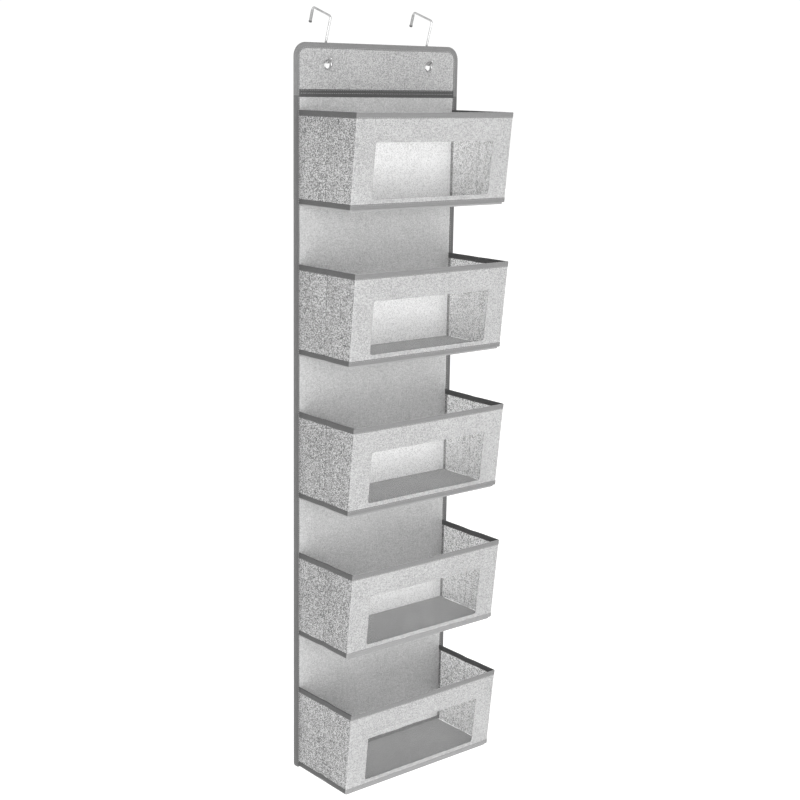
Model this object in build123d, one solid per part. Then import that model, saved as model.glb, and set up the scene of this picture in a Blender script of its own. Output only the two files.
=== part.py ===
"""Over-the-door fabric organizer with five fold-flat box pockets.

Frame: +X right, -Y front, +Z up, millimetres.  The origin is the centre of the main back panel's
rear lining.  The header hangs on two wire hooks, the main panel hangs from the header at a sewn
seam, and each pocket folds flat against the panel.
"""
from build123d import *
import math
import os

# ---------------------------------------------------------------- driving dimensions (mm)
PANEL_W = 340.0            # overall width of the panel
PANEL_H = 1230.0           # overall height, header included
HEADER_H = 81.0            # header, down to the lower edge of the seam tape
SEAM_GAP = 0.4             # gap at the sewn hinge between header and main panel
LINING_T = 0.9             # rear lining
BOARD_T = 2.0              # stiffening board between lining and cloth
CLOTH_T = 0.9              # front cloth
BIND_T = 0.8               # edge binding, each leg
BIND_W = 9.5               # edge binding, width seen on each face
CORNER_R = 22.0            # rounded corners, top and bottom
TAPE_H = 9.0               # tape over the header seam
BOARD_EDGE = 12.0          # board stops this far inside the panel's edge

EYELET_X = 105.0           # eyelets either side of the middle
EYELET_DROP = 34.0         # eyelet centre below the top edge
EYELET_R = 8.2             # flange radius
EYELET_HOLE_R = 6.0        # clear hole
EYELET_FLANGE_T = 0.8      # flange thickness on each face

WIRE_R = 2.0               # hook wire radius
HOOK_ARC_R = 10.5          # centreline radius of the lower bend that passes through the eyelet
HOOK_LEAN = 18.2           # degrees the hook leans forward with no door in it
HOOK_RISE = 60.0           # shank, from the lower bend's centre up to the bridge
HOOK_BRIDGE = 50.0         # bridge, centreline to centreline
HOOK_DROP = 25.0           # drop leg behind the door
HOOK_BEND_R = 4.5          # upper bends
HOOK_ARC_END = 62.0        # degrees the lower bend runs past its lowest point
HOOK_TIP = 6.5             # straight tip
HOOK_CAP = 6.0             # plastic end cap

POCKETS = 5
FIRST_RIM = 104.0          # first rim below the top edge
PITCH = 244.0              # rim to rim
POCKET_H = 150.0           # rim to the underside of the base
DEPTH_TOP = 155.0          # panel's rear face to the front's outer face at the rim
DEPTH_BOTTOM = 140.0       # the same at the base
BAND_X = 162.0             # outer face of the gusset bindings
BAND_T = 2.4               # thickness over the bindings
BAND_CLOTH_T = 1.2         # gusset and front cloth
RIM_H = 9.0                # rim binding
HEM_H = 8.0                # hem binding
FLANGE_REACH = 5.2         # sewn flange, forward of the back cloth
BASE_T = 3.0               # base board with its cover
WINDOW_W = 244.0           # clear window
WINDOW_LOW = 18.5          # clear window's lower edge above the underside of the base
WINDOW_HIGH = 105.0        # and its upper edge
WINDOW_SEAM = 8.0          # sheet behind the cloth, past the clear window
WINDOW_T = 0.5
GAP = 0.3                  # running clearance between pieces that move apart

# ---------------------------------------------------------------- derived places
Z_BOTTOM = -(PANEL_H - HEADER_H - SEAM_GAP) / 2
Z_TOP = Z_BOTTOM + PANEL_H
Z_SEAM_LOW = Z_TOP - HEADER_H - SEAM_GAP      # top edge of the main panel
Z_SEAM_HIGH = Z_TOP - HEADER_H                # bottom edge of the header
Y_LINING = -LINING_T
Y_BOARD = Y_LINING - BOARD_T
Y_CLOTH = Y_BOARD - CLOTH_T                   # front face of the panel cloth
Y_BIND = Y_CLOTH - BIND_T                     # front face of the edge binding
Y_HINGE = Y_CLOTH - FLANGE_REACH              # rear hinge of the gussets
X_IN = BAND_X - BAND_T                        # inner face of the bindings, rear and front hinges
X_CREASE = BAND_X + GAP                       # crease hinge, just outside the bindings
SLOPE = (DEPTH_TOP - DEPTH_BOTTOM) / POCKET_H
FRONT_TILT = math.degrees(math.atan(SLOPE))
CREASE_SLOPE = math.tan(math.radians(FRONT_TILT / 2))
BAND_GAP = 0.4                                # band's lower edge above the base


def box(x0, x1, y0, y1, z0, z1):
    """Solid box between two corners."""
    cx, cy, cz = (x0 + x1) / 2, (y0 + y1) / 2, (z0 + z1) / 2
    return Pos(cx, cy, cz) * Box(abs(x1 - x0), abs(y1 - y0), abs(z1 - z0))


def plate(half_w, z0, z1, y_front, y_back, r_top, r_bottom):
    """Upright plate with rounded top or bottom corners."""
    profile = Plane.XZ * Pos(0, (z0 + z1) / 2) * Rectangle(2 * half_w, z1 - z0)
    solid = extrude(profile, y_back - y_front, dir=(0, 1, 0))
    solid = Pos(0, y_front, 0) * solid
    if r_top > 0:
        top = solid.edges().filter_by(Axis.Y).group_by(Axis.Z)[-1]
        solid = fillet(top, r_top)
    if r_bottom > 0:
        low = solid.edges().filter_by(Axis.Y).group_by(Axis.Z)[0]
        solid = fillet(low, r_bottom)
    return solid


def save(shape, name):
    export_step(shape, "parts/" + name + ".step")


def edge_binding(z0, z1, r_top, r_bottom):
    """Folded tape round three sides of a panel, open at the seam side."""
    open_top = r_top == 0
    inner_z1 = z1 + 1 if open_top else z1 - BIND_W
    inner_z0 = z0 + BIND_W if open_top else z0 - 1
    outer = plate(PANEL_W / 2, z0, z1, Y_BIND, -0.1, r_top, r_bottom)
    r_in_top = max(r_top - BIND_W, 0)
    r_in_bottom = max(r_bottom - BIND_W, 0)
    window = plate(PANEL_W / 2 - BIND_W, inner_z0, inner_z1, Y_BIND - 1, 1, r_in_top, r_in_bottom)
    core_z1 = z1 + 1 if open_top else z1 - BIND_T
    core_z0 = z0 + BIND_T if open_top else z0 - 1
    r_core_top = max(r_top - BIND_T, 0)
    r_core_bottom = max(r_bottom - BIND_T, 0)
    core = plate(PANEL_W / 2 - BIND_T, core_z0, core_z1, Y_CLOTH, Y_LINING, r_core_top, r_core_bottom)
    return outer - window - core


def panel_lining(z0, z1, r_top, r_bottom):
    """Rear lining: flat inside the binding, with a folded hem that the binding holds."""
    open_top = r_top == 0
    e = BIND_W
    h = BIND_T
    face_z1 = z1 if open_top else z1 - e
    face_z0 = z0 + e if open_top else z0
    face = plate(PANEL_W / 2 - e, face_z0, face_z1, Y_LINING, 0, max(r_top - e, 0), max(r_bottom - e, 0))
    hem_z1 = z1 if open_top else z1 - h
    hem_z0 = z0 + h if open_top else z0
    hem = plate(PANEL_W / 2 - h, hem_z0, hem_z1, Y_BOARD, Y_LINING, max(r_top - h, 0), max(r_bottom - h, 0))
    c = BOARD_EDGE
    cut_z1 = z1 + 1 if open_top else z1 - c
    cut_z0 = z0 + c if open_top else z0 - 1
    inner_top = max(r_top - c, 0)
    inner_bottom = max(r_bottom - c, 0)
    cut = plate(PANEL_W / 2 - c, cut_z0, cut_z1, Y_BOARD - 1, Y_LINING, inner_top, inner_bottom)
    return face + (hem - cut)


def panel_cloth(z0, z1, r_top, r_bottom):
    open_top = r_top == 0
    h = BIND_T
    c_z1 = z1 if open_top else z1 - h
    c_z0 = z0 + h if open_top else z0
    return plate(PANEL_W / 2 - h, c_z0, c_z1, Y_CLOTH, Y_BOARD, max(r_top - h, 0), max(r_bottom - h, 0))


def rim_z(i):
    return Z_TOP - FIRST_RIM - i * PITCH


def base_z(i):
    return rim_z(i) - POCKET_H


os.makedirs("parts", exist_ok=True)

# ---------------------------------------------------------------- header
eyelet_holes = []
for side in (-1, 1):
    drill = Pos(side * EYELET_X, 0, Z_TOP - EYELET_DROP) * Rot(90, 0, 0) * Cylinder(EYELET_HOLE_R + 0.9, 30)
    eyelet_holes.append(drill)

header_cloth = panel_cloth(Z_SEAM_HIGH, Z_TOP, CORNER_R, 0)
header_lining = panel_lining(Z_SEAM_HIGH, Z_TOP, CORNER_R, 0)
header_board = plate(
    PANEL_W / 2 - BOARD_EDGE - GAP,
    Z_SEAM_HIGH + 3,
    Z_TOP - BOARD_EDGE - GAP,
    Y_BOARD,
    Y_LINING,
    CORNER_R - BOARD_EDGE,
    0,
)
header_edge = edge_binding(Z_SEAM_HIGH, Z_TOP, CORNER_R, 0)
for drill in eyelet_holes:
    header_cloth = header_cloth - drill
    header_lining = header_lining - drill
    header_board = header_board - drill
seam_tape = box(
    -PANEL_W / 2 + BIND_W, PANEL_W / 2 - BIND_W, Y_BIND, Y_CLOTH, Z_SEAM_HIGH, Z_SEAM_HIGH + TAPE_H
)
save(header_cloth, "header_cloth")
save(header_lining, "header_lining")
save(header_board, "header_board")
save(header_edge, "header_binding")
save(seam_tape, "seam_tape")

for side, word in ((-1, "left"), (1, "right")):
    barrel_outer = Cylinder(EYELET_HOLE_R + 0.9, -Y_CLOTH)
    front_flange = Pos(0, 0, -Y_CLOTH / 2 + EYELET_FLANGE_T / 2) * Cylinder(EYELET_R, EYELET_FLANGE_T)
    rear_flange = Pos(0, 0, Y_CLOTH / 2 - EYELET_FLANGE_T / 2) * Cylinder(EYELET_R, EYELET_FLANGE_T)
    eyelet = barrel_outer + front_flange + rear_flange - Cylinder(EYELET_HOLE_R, 30)
    rims = eyelet.edges().filter_by(GeomType.CIRCLE)
    outer_rims = [e for e in rims if abs(e.radius - EYELET_R) < 0.01]
    faces_out = [e for e in outer_rims if abs(abs(e.center().Z) - (-Y_CLOTH / 2 + EYELET_FLANGE_T)) < 0.01]
    eyelet = fillet(faces_out, EYELET_FLANGE_T * 0.6)
    # +Z of the eyelet points to the front
    eyelet = Pos(side * EYELET_X, Y_CLOTH / 2, Z_TOP - EYELET_DROP) * Rot(90, 0, 0) * eyelet
    save(eyelet, word + "_eyelet")

# ---------------------------------------------------------------- wire hooks
# the lower bend's centre is above the hole, so that the bend slides through the eyelet as it swings
HOOK_Y = Y_CLOTH / 2
HOOK_Z = Z_TOP - EYELET_DROP + EYELET_HOLE_R - WIRE_R - GAP - 0.4 + HOOK_ARC_R


def hook_path():
    """Wire centreline in the YZ plane about the lower bend's centre, upright."""
    a = math.radians(HOOK_ARC_END)
    end = (-HOOK_ARC_R * math.sin(a), -HOOK_ARC_R * math.cos(a))
    tangent = (-math.cos(a), math.sin(a))
    tip = (end[0] + HOOK_TIP * tangent[0], end[1] + HOOK_TIP * tangent[1])
    b = HOOK_BEND_R
    r = HOOK_ARC_R
    y_far = r + HOOK_BRIDGE
    s = math.sin(math.radians(45))
    rise = HOOK_RISE

    def p(y, z):
        return Vector(0, y, z)

    half_way = math.radians((90 - HOOK_ARC_END) / 2)
    low_mid = p(r * math.sin(half_way), -r * math.cos(half_way))
    parts = [
        Line(p(*tip), p(*end)),
        ThreePointArc(p(*end), low_mid, p(r, 0)),
        Line(p(r, 0), p(r, rise - b)),
        ThreePointArc(p(r, rise - b), p(r + b - b * s, rise - b + b * s), p(r + b, rise)),
        Line(p(r + b, rise), p(y_far - b, rise)),
        ThreePointArc(p(y_far - b, rise), p(y_far - b + b * s, rise - b + b * s), p(y_far, rise - b)),
        Line(p(y_far, rise - b), p(y_far, rise - HOOK_DROP)),
    ]
    return Wire(parts), p(*tip), Vector(0, *tangent)


for side, word in ((-1, "left"), (1, "right")):
    path, tip, tangent = hook_path()
    start = Plane(origin=tip, z_dir=tangent * -1)
    wire = sweep(start * Circle(WIRE_R), path=path)
    cap = Pos(0, HOOK_ARC_R + HOOK_BRIDGE, HOOK_RISE - HOOK_DROP) * Cylinder(
        WIRE_R + 0.6, HOOK_CAP, align=(Align.CENTER, Align.CENTER, Align.MIN)
    )
    hook = wire + cap
    hook = Pos(side * EYELET_X, HOOK_Y, HOOK_Z) * Rot(HOOK_LEAN, 0, 0) * hook
    save(hook, word + "_hook")

# ---------------------------------------------------------------- main back panel
back_cloth = panel_cloth(Z_BOTTOM, Z_SEAM_LOW, 0, 10.0)
back_lining = panel_lining(Z_BOTTOM, Z_SEAM_LOW, 0, 10.0)
back_edge = edge_binding(Z_BOTTOM, Z_SEAM_LOW, 0, 10.0)
boards = []
for i in range(POCKETS):
    high = rim_z(i) + 14 if i else Z_SEAM_LOW - 3
    low = rim_z(i + 1) + 17 if i < POCKETS - 1 else Z_BOTTOM + BOARD_EDGE + GAP
    half = PANEL_W / 2 - BOARD_EDGE - GAP
    boards.append(box(-half, half, Y_BOARD, Y_LINING, low, high))
save(back_cloth, "back_cloth")
save(back_lining, "back_lining")
save(back_edge, "back_binding")
save(Compound(children=boards), "back_boards")

flanges = []
for i in range(POCKETS):
    for side in (-1, 1):
        x0 = side * (BAND_X - BAND_T / 2 - BAND_CLOTH_T / 2)
        x1 = side * (BAND_X - BAND_T / 2 + BAND_CLOTH_T / 2)
        # the flange starts on the binding's front face
        flanges.append(box(x0, x1, Y_HINGE + GAP, Y_BIND, base_z(i) + BASE_T + BAND_GAP, rim_z(i)))
save(Compound(children=flanges), "pocket_flanges")


# ---------------------------------------------------------------- pockets
def crease_y(z, z_base):
    """Crease line in the gusset, for a rear, crease and front hinge that meet in one apex."""
    apex = z_base - (DEPTH_BOTTOM - BAND_T + Y_HINGE) / SLOPE
    return Y_HINGE - CREASE_SLOPE * (z - apex)


def front_y(z, z_base):
    """Inner plane of the front panel, where its hinge line runs."""
    return -(DEPTH_BOTTOM - BAND_T) - SLOPE * (z - z_base)


def gusset_half(side, z_base, z0, z1, rear, gap_front):
    """Half of a side gusset: thin cloth with a thicker rim and hem."""
    def outline(low, high):
        if rear:
            pts = [
                (Y_HINGE - GAP, low),
                (crease_y(low, z_base) + GAP, low),
                (crease_y(high, z_base) + GAP, high),
                (Y_HINGE - GAP, high),
            ]
        else:
            pts = [
                (crease_y(low, z_base) - GAP, low),
                (front_y(low, z_base) + gap_front, low),
                (front_y(high, z_base) + gap_front, high),
                (crease_y(high, z_base) - GAP, high),
            ]
        return pts

    def slab(low, high, thick):
        face = make_face(Polyline([Vector(0, y, z) for y, z in outline(low, high)], close=True))
        x_mid = side * (BAND_X - BAND_T / 2)
        solid = extrude(face, thick, dir=(1, 0, 0))
        return Pos(x_mid - thick / 2, 0, 0) * solid

    cloth = slab(z0 + 0.5, z1 - 0.5, BAND_CLOTH_T)
    rim = slab(z1 - RIM_H, z1, BAND_T)
    hem = slab(z0, z0 + HEM_H, BAND_T)
    return cloth + rim + hem


for i in range(POCKETS):
    zb = base_z(i)
    zt = rim_z(i)
    z0 = zb + BASE_T + BAND_GAP
    tag = "pocket_" + str(i + 1) + "_"
    for side, word in ((-1, "left"), (1, "right")):
        gap = GAP if side < 0 else 0.5
        save(gusset_half(side, zb, z0, zt, True, gap), tag + word + "_rear_gusset")
        save(gusset_half(side, zb, z0, zt, False, gap), tag + word + "_front_gusset")

    # front panel, drawn flat and then tilted: local x across, y up the slope, z outward
    lean = Plane(
        origin=(0, front_y(zb, zb), zb),
        x_dir=(1, 0, 0),
        z_dir=(0, -math.cos(math.radians(FRONT_TILT)), -math.sin(math.radians(FRONT_TILT))),
    )
    k = 1 / math.cos(math.radians(FRONT_TILT))
    s0 = (z0 - zb) * k + 0.3
    s1 = POCKET_H * k
    cloth_z0 = (BAND_T - BAND_CLOTH_T) / 2
    mid = BAND_CLOTH_T
    w_low = WINDOW_LOW * k
    w_high = WINDOW_HIGH * k

    def bar(x0, x1, y0, y1, za, zc):
        return box(x0, x1, y0, y1, za, zc)

    cloth = bar(-BAND_X + 0.6, BAND_X - 0.6, s0 + 0.6, s1 - 0.6, cloth_z0, cloth_z0 + mid)
    hole = Pos(0, (w_low + w_high) / 2, BAND_T / 2) * Box(WINDOW_W, w_high - w_low, 10)
    hole = fillet(hole.edges().filter_by(Axis.Z), 4.0)
    front = lean.location * (cloth - hole)
    sheet = bar(
        -WINDOW_W / 2 - WINDOW_SEAM,
        WINDOW_W / 2 + WINDOW_SEAM,
        w_low - WINDOW_SEAM + 3,
        w_high + WINDOW_SEAM,
        cloth_z0 - WINDOW_T,
        cloth_z0,
    )
    window = lean.location * sheet
    rim = bar(-BAND_X, BAND_X, s1 - RIM_H, s1, 0, BAND_T) - cloth
    hem = bar(-BAND_X, BAND_X, s0, s0 + HEM_H, 0, BAND_T) - cloth
    binding = Compound(children=[lean.location * rim, lean.location * hem])
    save(front, tag + "front_panel")
    save(window, tag + "window")
    save(binding, tag + "front_binding")

    # base board, hinged at its upper rear edge
    base = box(-X_IN + 0.4, X_IN - 0.4, -(DEPTH_BOTTOM - BAND_T) + 0.6, Y_BIND - GAP - 0.2, zb, zb + BASE_T)
    front_edge = base.edges().filter_by(Axis.Z).group_by(Axis.Y)[0]
    base = fillet(front_edge, 3.0)
    save(base, tag + "base_panel")

# ---------------------------------------------------------------- hinge places, for reference
apex_drop = (DEPTH_BOTTOM - BAND_T + Y_HINGE) / SLOPE
print("Z_TOP", Z_TOP, "Z_BOTTOM", Z_BOTTOM, "seam hinge y", Y_BIND, "z", Z_SEAM_LOW + SEAM_GAP / 2)
print("hook hinge y", HOOK_Y, "z", HOOK_Z, "crease hinge x", X_CREASE, "apex below base", apex_drop)
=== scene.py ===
"""Visual model of an over-the-door fabric organizer with fold-flat box pockets.

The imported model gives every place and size; this script dresses it: heathered cloth panels, ribbed
edge tapes with stitching, clear windows, stiff covered bases, bright eyelets and wire hooks.
"""
import logging
import math
from dataclasses import dataclass, field
from enum import Enum
from typing import Sequence

import bmesh
import bpy
import numpy as np
from mathutils import Matrix, Vector


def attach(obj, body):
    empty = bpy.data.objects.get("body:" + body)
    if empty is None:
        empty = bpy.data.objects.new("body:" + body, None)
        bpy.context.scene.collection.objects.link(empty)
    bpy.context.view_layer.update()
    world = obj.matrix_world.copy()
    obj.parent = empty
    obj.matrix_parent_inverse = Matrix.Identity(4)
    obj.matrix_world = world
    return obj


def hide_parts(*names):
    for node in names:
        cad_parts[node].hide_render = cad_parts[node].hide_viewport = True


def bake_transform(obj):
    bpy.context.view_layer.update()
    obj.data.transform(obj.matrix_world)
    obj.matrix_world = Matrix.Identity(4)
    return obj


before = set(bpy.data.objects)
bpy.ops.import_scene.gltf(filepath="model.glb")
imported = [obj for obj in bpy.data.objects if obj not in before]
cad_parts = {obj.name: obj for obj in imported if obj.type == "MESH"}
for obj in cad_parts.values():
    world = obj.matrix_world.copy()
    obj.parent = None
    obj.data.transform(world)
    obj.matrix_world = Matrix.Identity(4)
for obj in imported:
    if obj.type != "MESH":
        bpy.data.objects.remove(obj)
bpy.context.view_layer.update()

LOG = logging.getLogger("organizer")
MM = 0.001
Point = tuple[float, float, float]
Pair = tuple[float, float]
Colour = tuple[float, float, float]
Material = bpy.types.Material
Piece = bpy.types.Object
Socket = bpy.types.NodeSocket


class Side(Enum):
    """Which side wall of a pocket, as the sign of its X."""

    LEFT = -1
    RIGHT = 1

    @property
    def word(self) -> str:
        """The side's name as the CAD nodes spell it.

        Returns:
            The name, in small letters.
        """
        return self.name.lower()


class TapeTone(Enum):
    """One edge tape in four tones: the middle tone is its own grey; the light tone is painted light, and the
    dark and deep tones are painted shade.
    """

    LIGHT = "light_tape"
    MIDDLE = "middle_tape"
    DARK = "dark_tape"
    DEEP = "deep_tape"


# ------------------------------------------------------------------------------------------------
# finishes
# ------------------------------------------------------------------------------------------------
class Shader:
    """Small helper that wires up one node material."""

    def __init__(self, name: str) -> None:
        """Start an empty material with a Principled surface.

        Args:
            name: Name of the material.
        """
        self.material = bpy.data.materials.new(name)
        self.material.use_nodes = True
        self.tree = self.material.node_tree
        self.tree.nodes.clear()
        self.out = self.tree.nodes.new("ShaderNodeOutputMaterial")
        self.surface = self.tree.nodes.new("ShaderNodeBsdfPrincipled")
        self.link(self.surface.outputs["BSDF"], self.out.inputs["Surface"])
        self.coords = self.tree.nodes.new("ShaderNodeTexCoord")

    def link(self, source: Socket, target: Socket) -> None:
        """Join two sockets.

        Args:
            source: Output to read.
            target: Input to drive.
        """
        self.tree.links.new(source, target)

    def set(self, **values: float | tuple) -> "Shader":
        """Set constants straight on the Principled shader's sockets.

        Args:
            values: Socket names in lower case with underscores, and their constants.

        Returns:
            This shader, for chaining.
        """
        for key, value in values.items():
            self.surface.inputs[key.replace("_", " ").title().replace("Ior", "IOR")].default_value = value
        return self

    def mapped(self, kind: str, scale: Sequence[float], shift: Sequence[float] = (0, 0, 0)) -> Socket:
        """Coordinates of a kind, scaled along each axis.

        Args:
            kind: Output of the coordinate node, Object or UV.
            scale: Scale along X, Y and Z, in turns per metre.
            shift: Offset after scaling.

        Returns:
            The vector socket.
        """
        node = self.tree.nodes.new("ShaderNodeMapping")
        node.inputs["Scale"].default_value = tuple(scale)
        node.inputs["Location"].default_value = tuple(shift)
        self.link(self.coords.outputs[kind], node.inputs["Vector"])
        return node.outputs["Vector"]

    def noise(self, vector: Socket, scale: float, detail: float = 2.0, rough: float = 0.55) -> Socket:
        """Noise value at a scale.

        Args:
            vector: Coordinates.
            scale: Cells per unit of the coordinates.
            detail: Octaves.
            rough: Strength of the higher octaves.

        Returns:
            The value socket.
        """
        node = self.tree.nodes.new("ShaderNodeTexNoise")
        node.inputs["Scale"].default_value = scale
        node.inputs["Detail"].default_value = detail
        node.inputs["Roughness"].default_value = rough
        self.link(vector, node.inputs["Vector"])
        return node.outputs["Fac"]

    def cells(self, vector: Socket, scale: float) -> Socket:
        """Random value from 0 to 1 in each Voronoi cell.

        Args:
            vector: Coordinates.
            scale: Cells per unit of the coordinates.

        Returns:
            The value socket.
        """
        node = self.tree.nodes.new("ShaderNodeTexVoronoi")
        node.inputs["Scale"].default_value = scale
        self.link(vector, node.inputs["Vector"])
        split = self.tree.nodes.new("ShaderNodeSeparateColor")
        self.link(node.outputs["Color"], split.inputs["Color"])
        return split.outputs["Red"]

    def wave(self, vector: Socket, direction: str, scale: float, distort: float = 0.0) -> Socket:
        """Sine bands along one axis.

        Args:
            vector: Coordinates.
            direction: X, Y or Z.
            scale: Scale of the bands.
            distort: How far the bands wander.

        Returns:
            The value socket.
        """
        node = self.tree.nodes.new("ShaderNodeTexWave")
        node.bands_direction = direction
        node.inputs["Scale"].default_value = scale
        node.inputs["Distortion"].default_value = distort
        node.inputs["Detail"].default_value = 1.0
        self.link(vector, node.inputs["Vector"])
        return node.outputs["Fac"]

    def math(self, kind: str, a: Socket, b: Socket | float, clamp: bool = False) -> Socket:
        """One arithmetic step.

        Args:
            kind: Blender's operation name.
            a: First value.
            b: Second value, a socket or a number.
            clamp: Keep the result from 0 to 1.

        Returns:
            The result socket.
        """
        node = self.tree.nodes.new("ShaderNodeMath")
        node.operation = kind
        node.use_clamp = clamp
        self.link(a, node.inputs[0])
        if isinstance(b, (int, float)):
            node.inputs[1].default_value = b
        else:
            self.link(b, node.inputs[1])
        return node.outputs[0]

    def weighted(self, parts: Sequence[tuple[Socket, float]]) -> Socket:
        """Half plus the weighted, centred sum of several values.

        Args:
            parts: Sockets, each with its weight.

        Returns:
            The sum socket.
        """
        total = None
        for value, weight in parts:
            centred = self.math("SUBTRACT", value, 0.5)
            scaled = self.math("MULTIPLY", centred, weight)
            total = scaled if total is None else self.math("ADD", total, scaled)
        return self.math("ADD", total, 0.5, clamp=True)

    def ramp(self, value: Socket, stops: Sequence[tuple[float, Colour]]) -> Socket:
        """Colour ramp.

        Args:
            value: Position on the ramp.
            stops: Positions, each with its colour.

        Returns:
            The colour socket.
        """
        node = self.tree.nodes.new("ShaderNodeValToRGB")
        bar = node.color_ramp
        while len(bar.elements) < len(stops):
            bar.elements.new(0.5)
        for element, (place, colour) in zip(bar.elements, stops):
            element.position = place
            element.color = (*colour, 1.0)
        self.link(value, node.inputs["Fac"])
        return node.outputs["Color"]

    def colour(self, socket: Socket) -> "Shader":
        """Drive the base colour.

        Args:
            socket: What drives it.

        Returns:
            This shader.
        """
        self.link(socket, self.surface.inputs["Base Color"])
        return self

    def rough(self, socket: Socket) -> "Shader":
        """Drive the roughness.

        Args:
            socket: What drives it.

        Returns:
            This shader.
        """
        self.link(socket, self.surface.inputs["Roughness"])
        return self

    def bump(self, height: Socket, distance: float, strength: float = 1.0) -> "Shader":
        """Bump the surface by a height.

        Args:
            height: Height from 0 to 1.
            distance: What 1 means, in metres.
            strength: Share of it.

        Returns:
            This shader.
        """
        node = self.tree.nodes.new("ShaderNodeBump")
        node.inputs["Strength"].default_value = strength
        node.inputs["Distance"].default_value = distance
        self.link(height, node.inputs["Height"])
        self.link(node.outputs["Normal"], self.surface.inputs["Normal"])
        return self


@dataclass(frozen=True)
class HeatherCloth:
    """Pressed nonwoven cloth with printed flecks and a faint linen grain."""

    name: str
    dark: Colour
    body: Colour
    light: Colour
    fleck: float = 1.7 * MM
    fleck_weight: float = 0.55
    fibre_weight: float = 0.35
    grain_weight: float = 0.5
    bump_height: float = 0.25 * MM

    def build(self) -> Material:
        """Make the material.

        Returns:
            The material.
        """
        shader = Shader(self.name)
        plain = shader.mapped("Object", (1.0, 1.0, 1.0))
        flecks = shader.cells(plain, 1.0 / self.fleck)
        grain = shader.noise(plain, 0.9 / self.fleck, 3.0, 0.7)
        across = shader.noise(shader.mapped("Object", (90.0, 90.0, 1100.0)), 1.0, 2.0, 0.6)
        upright = shader.noise(shader.mapped("Object", (1100.0, 1100.0, 90.0)), 1.0, 2.0, 0.6)
        broad = shader.noise(plain, 9.0, 2.0, 0.5)
        tone = shader.weighted(
            (
                (flecks, self.fleck_weight),
                (grain, self.grain_weight),
                (across, self.fibre_weight),
                (upright, self.fibre_weight),
                (broad, 0.18),
            )
        )
        shader.colour(shader.ramp(tone, ((0.22, self.dark), (0.5, self.body), (0.8, self.light))))
        height = shader.weighted(((flecks, 0.25), (grain, 0.6), (across, 0.5), (upright, 0.5)))
        shader.bump(height, self.bump_height)
        shader.set(roughness=0.86, sheen_weight=0.18, sheen_roughness=0.45, specular_ior_level=0.22)
        return shader.material


@dataclass(frozen=True)
class PlainCloth:
    """Flat woven cover cloth, as on the base boards and the rear lining."""

    name: str
    dark: Colour
    light: Colour
    thread: float = 0.8 * MM
    bump_height: float = 0.12 * MM

    def build(self) -> Material:
        """Make the material.

        Returns:
            The material.
        """
        shader = Shader(self.name)
        plain = shader.mapped("Object", (1.0, 1.0, 1.0))
        scale = 1.0 / self.thread / 2.0
        warp = shader.wave(shader.mapped("Object", (scale, scale, scale)), "X", 0.32, 0.4)
        weft_y = shader.wave(shader.mapped("Object", (scale, scale, scale), (0.3, 0.3, 0.3)), "Y", 0.32, 0.4)
        weft_z = shader.wave(shader.mapped("Object", (scale, scale, scale)), "Z", 0.32, 0.4)
        lint = shader.noise(plain, 420.0, 3.0, 0.6)
        broad = shader.noise(plain, 12.0, 3.0, 0.5)
        tone = shader.weighted(((warp, 0.05), (weft_y, 0.04), (weft_z, 0.04), (lint, 0.3), (broad, 0.55)))
        shader.colour(shader.ramp(tone, ((0.25, self.dark), (0.75, self.light))))
        height = shader.weighted(((warp, 0.14), (weft_y, 0.14), (weft_z, 0.14), (lint, 0.5)))
        shader.bump(height, self.bump_height)
        shader.set(roughness=0.8, sheen_weight=0.12, specular_ior_level=0.25)
        return shader.material


@dataclass(frozen=True)
class RibbedTape:
    """Grosgrain edge tape: fine ribs across its length, read from the tape's own UV map."""

    name: str
    dark: Colour
    light: Colour
    rib: float = 1.0 * MM

    def build(self) -> Material:
        """Make the material.

        Returns:
            The material.
        """
        shader = Shader(self.name)
        along = shader.mapped("UV", (1.0 / self.rib, 1.0 / self.rib, 1.0))
        ribs = shader.wave(along, "X", 0.314, 0.25)
        threads = shader.wave(along, "Y", 0.6, 0.6)
        worn = shader.noise(shader.mapped("UV", (60.0, 400.0, 1.0)), 1.0, 3.0, 0.6)
        lint = shader.noise(shader.mapped("Object", (1.0, 1.0, 1.0)), 700.0, 2.0, 0.6)
        tone = shader.weighted(((ribs, 0.3), (threads, 0.1), (worn, 0.4), (lint, 0.35)))
        shader.colour(shader.ramp(tone, ((0.2, self.dark), (0.8, self.light))))
        height = shader.weighted(((ribs, 0.9), (threads, 0.15), (lint, 0.15)))
        shader.bump(height, 0.16 * MM)
        shader.set(roughness=0.72, sheen_weight=0.15, specular_ior_level=0.3)
        return shader.material


@dataclass(frozen=True)
class ClearSheet:
    """Clear soft plastic window sheet."""

    name: str
    alpha: float = 0.09

    def build(self) -> Material:
        """Make the material.

        Returns:
            The material.
        """
        shader = Shader(self.name)
        ripple = shader.noise(shader.mapped("Object", (1.0, 1.0, 1.0)), 14.0, 2.0, 0.5)
        haze = shader.noise(shader.mapped("Object", (1.0, 1.0, 1.0)), 60.0, 3.0, 0.6)
        shader.colour(shader.ramp(haze, ((0.3, grey(0.42)), (0.7, grey(0.55)))))
        shader.bump(ripple, 0.6 * MM)
        shader.set(roughness=0.07, specular_ior_level=0.6, alpha=self.alpha, ior=1.52)
        return shader.material


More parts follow.
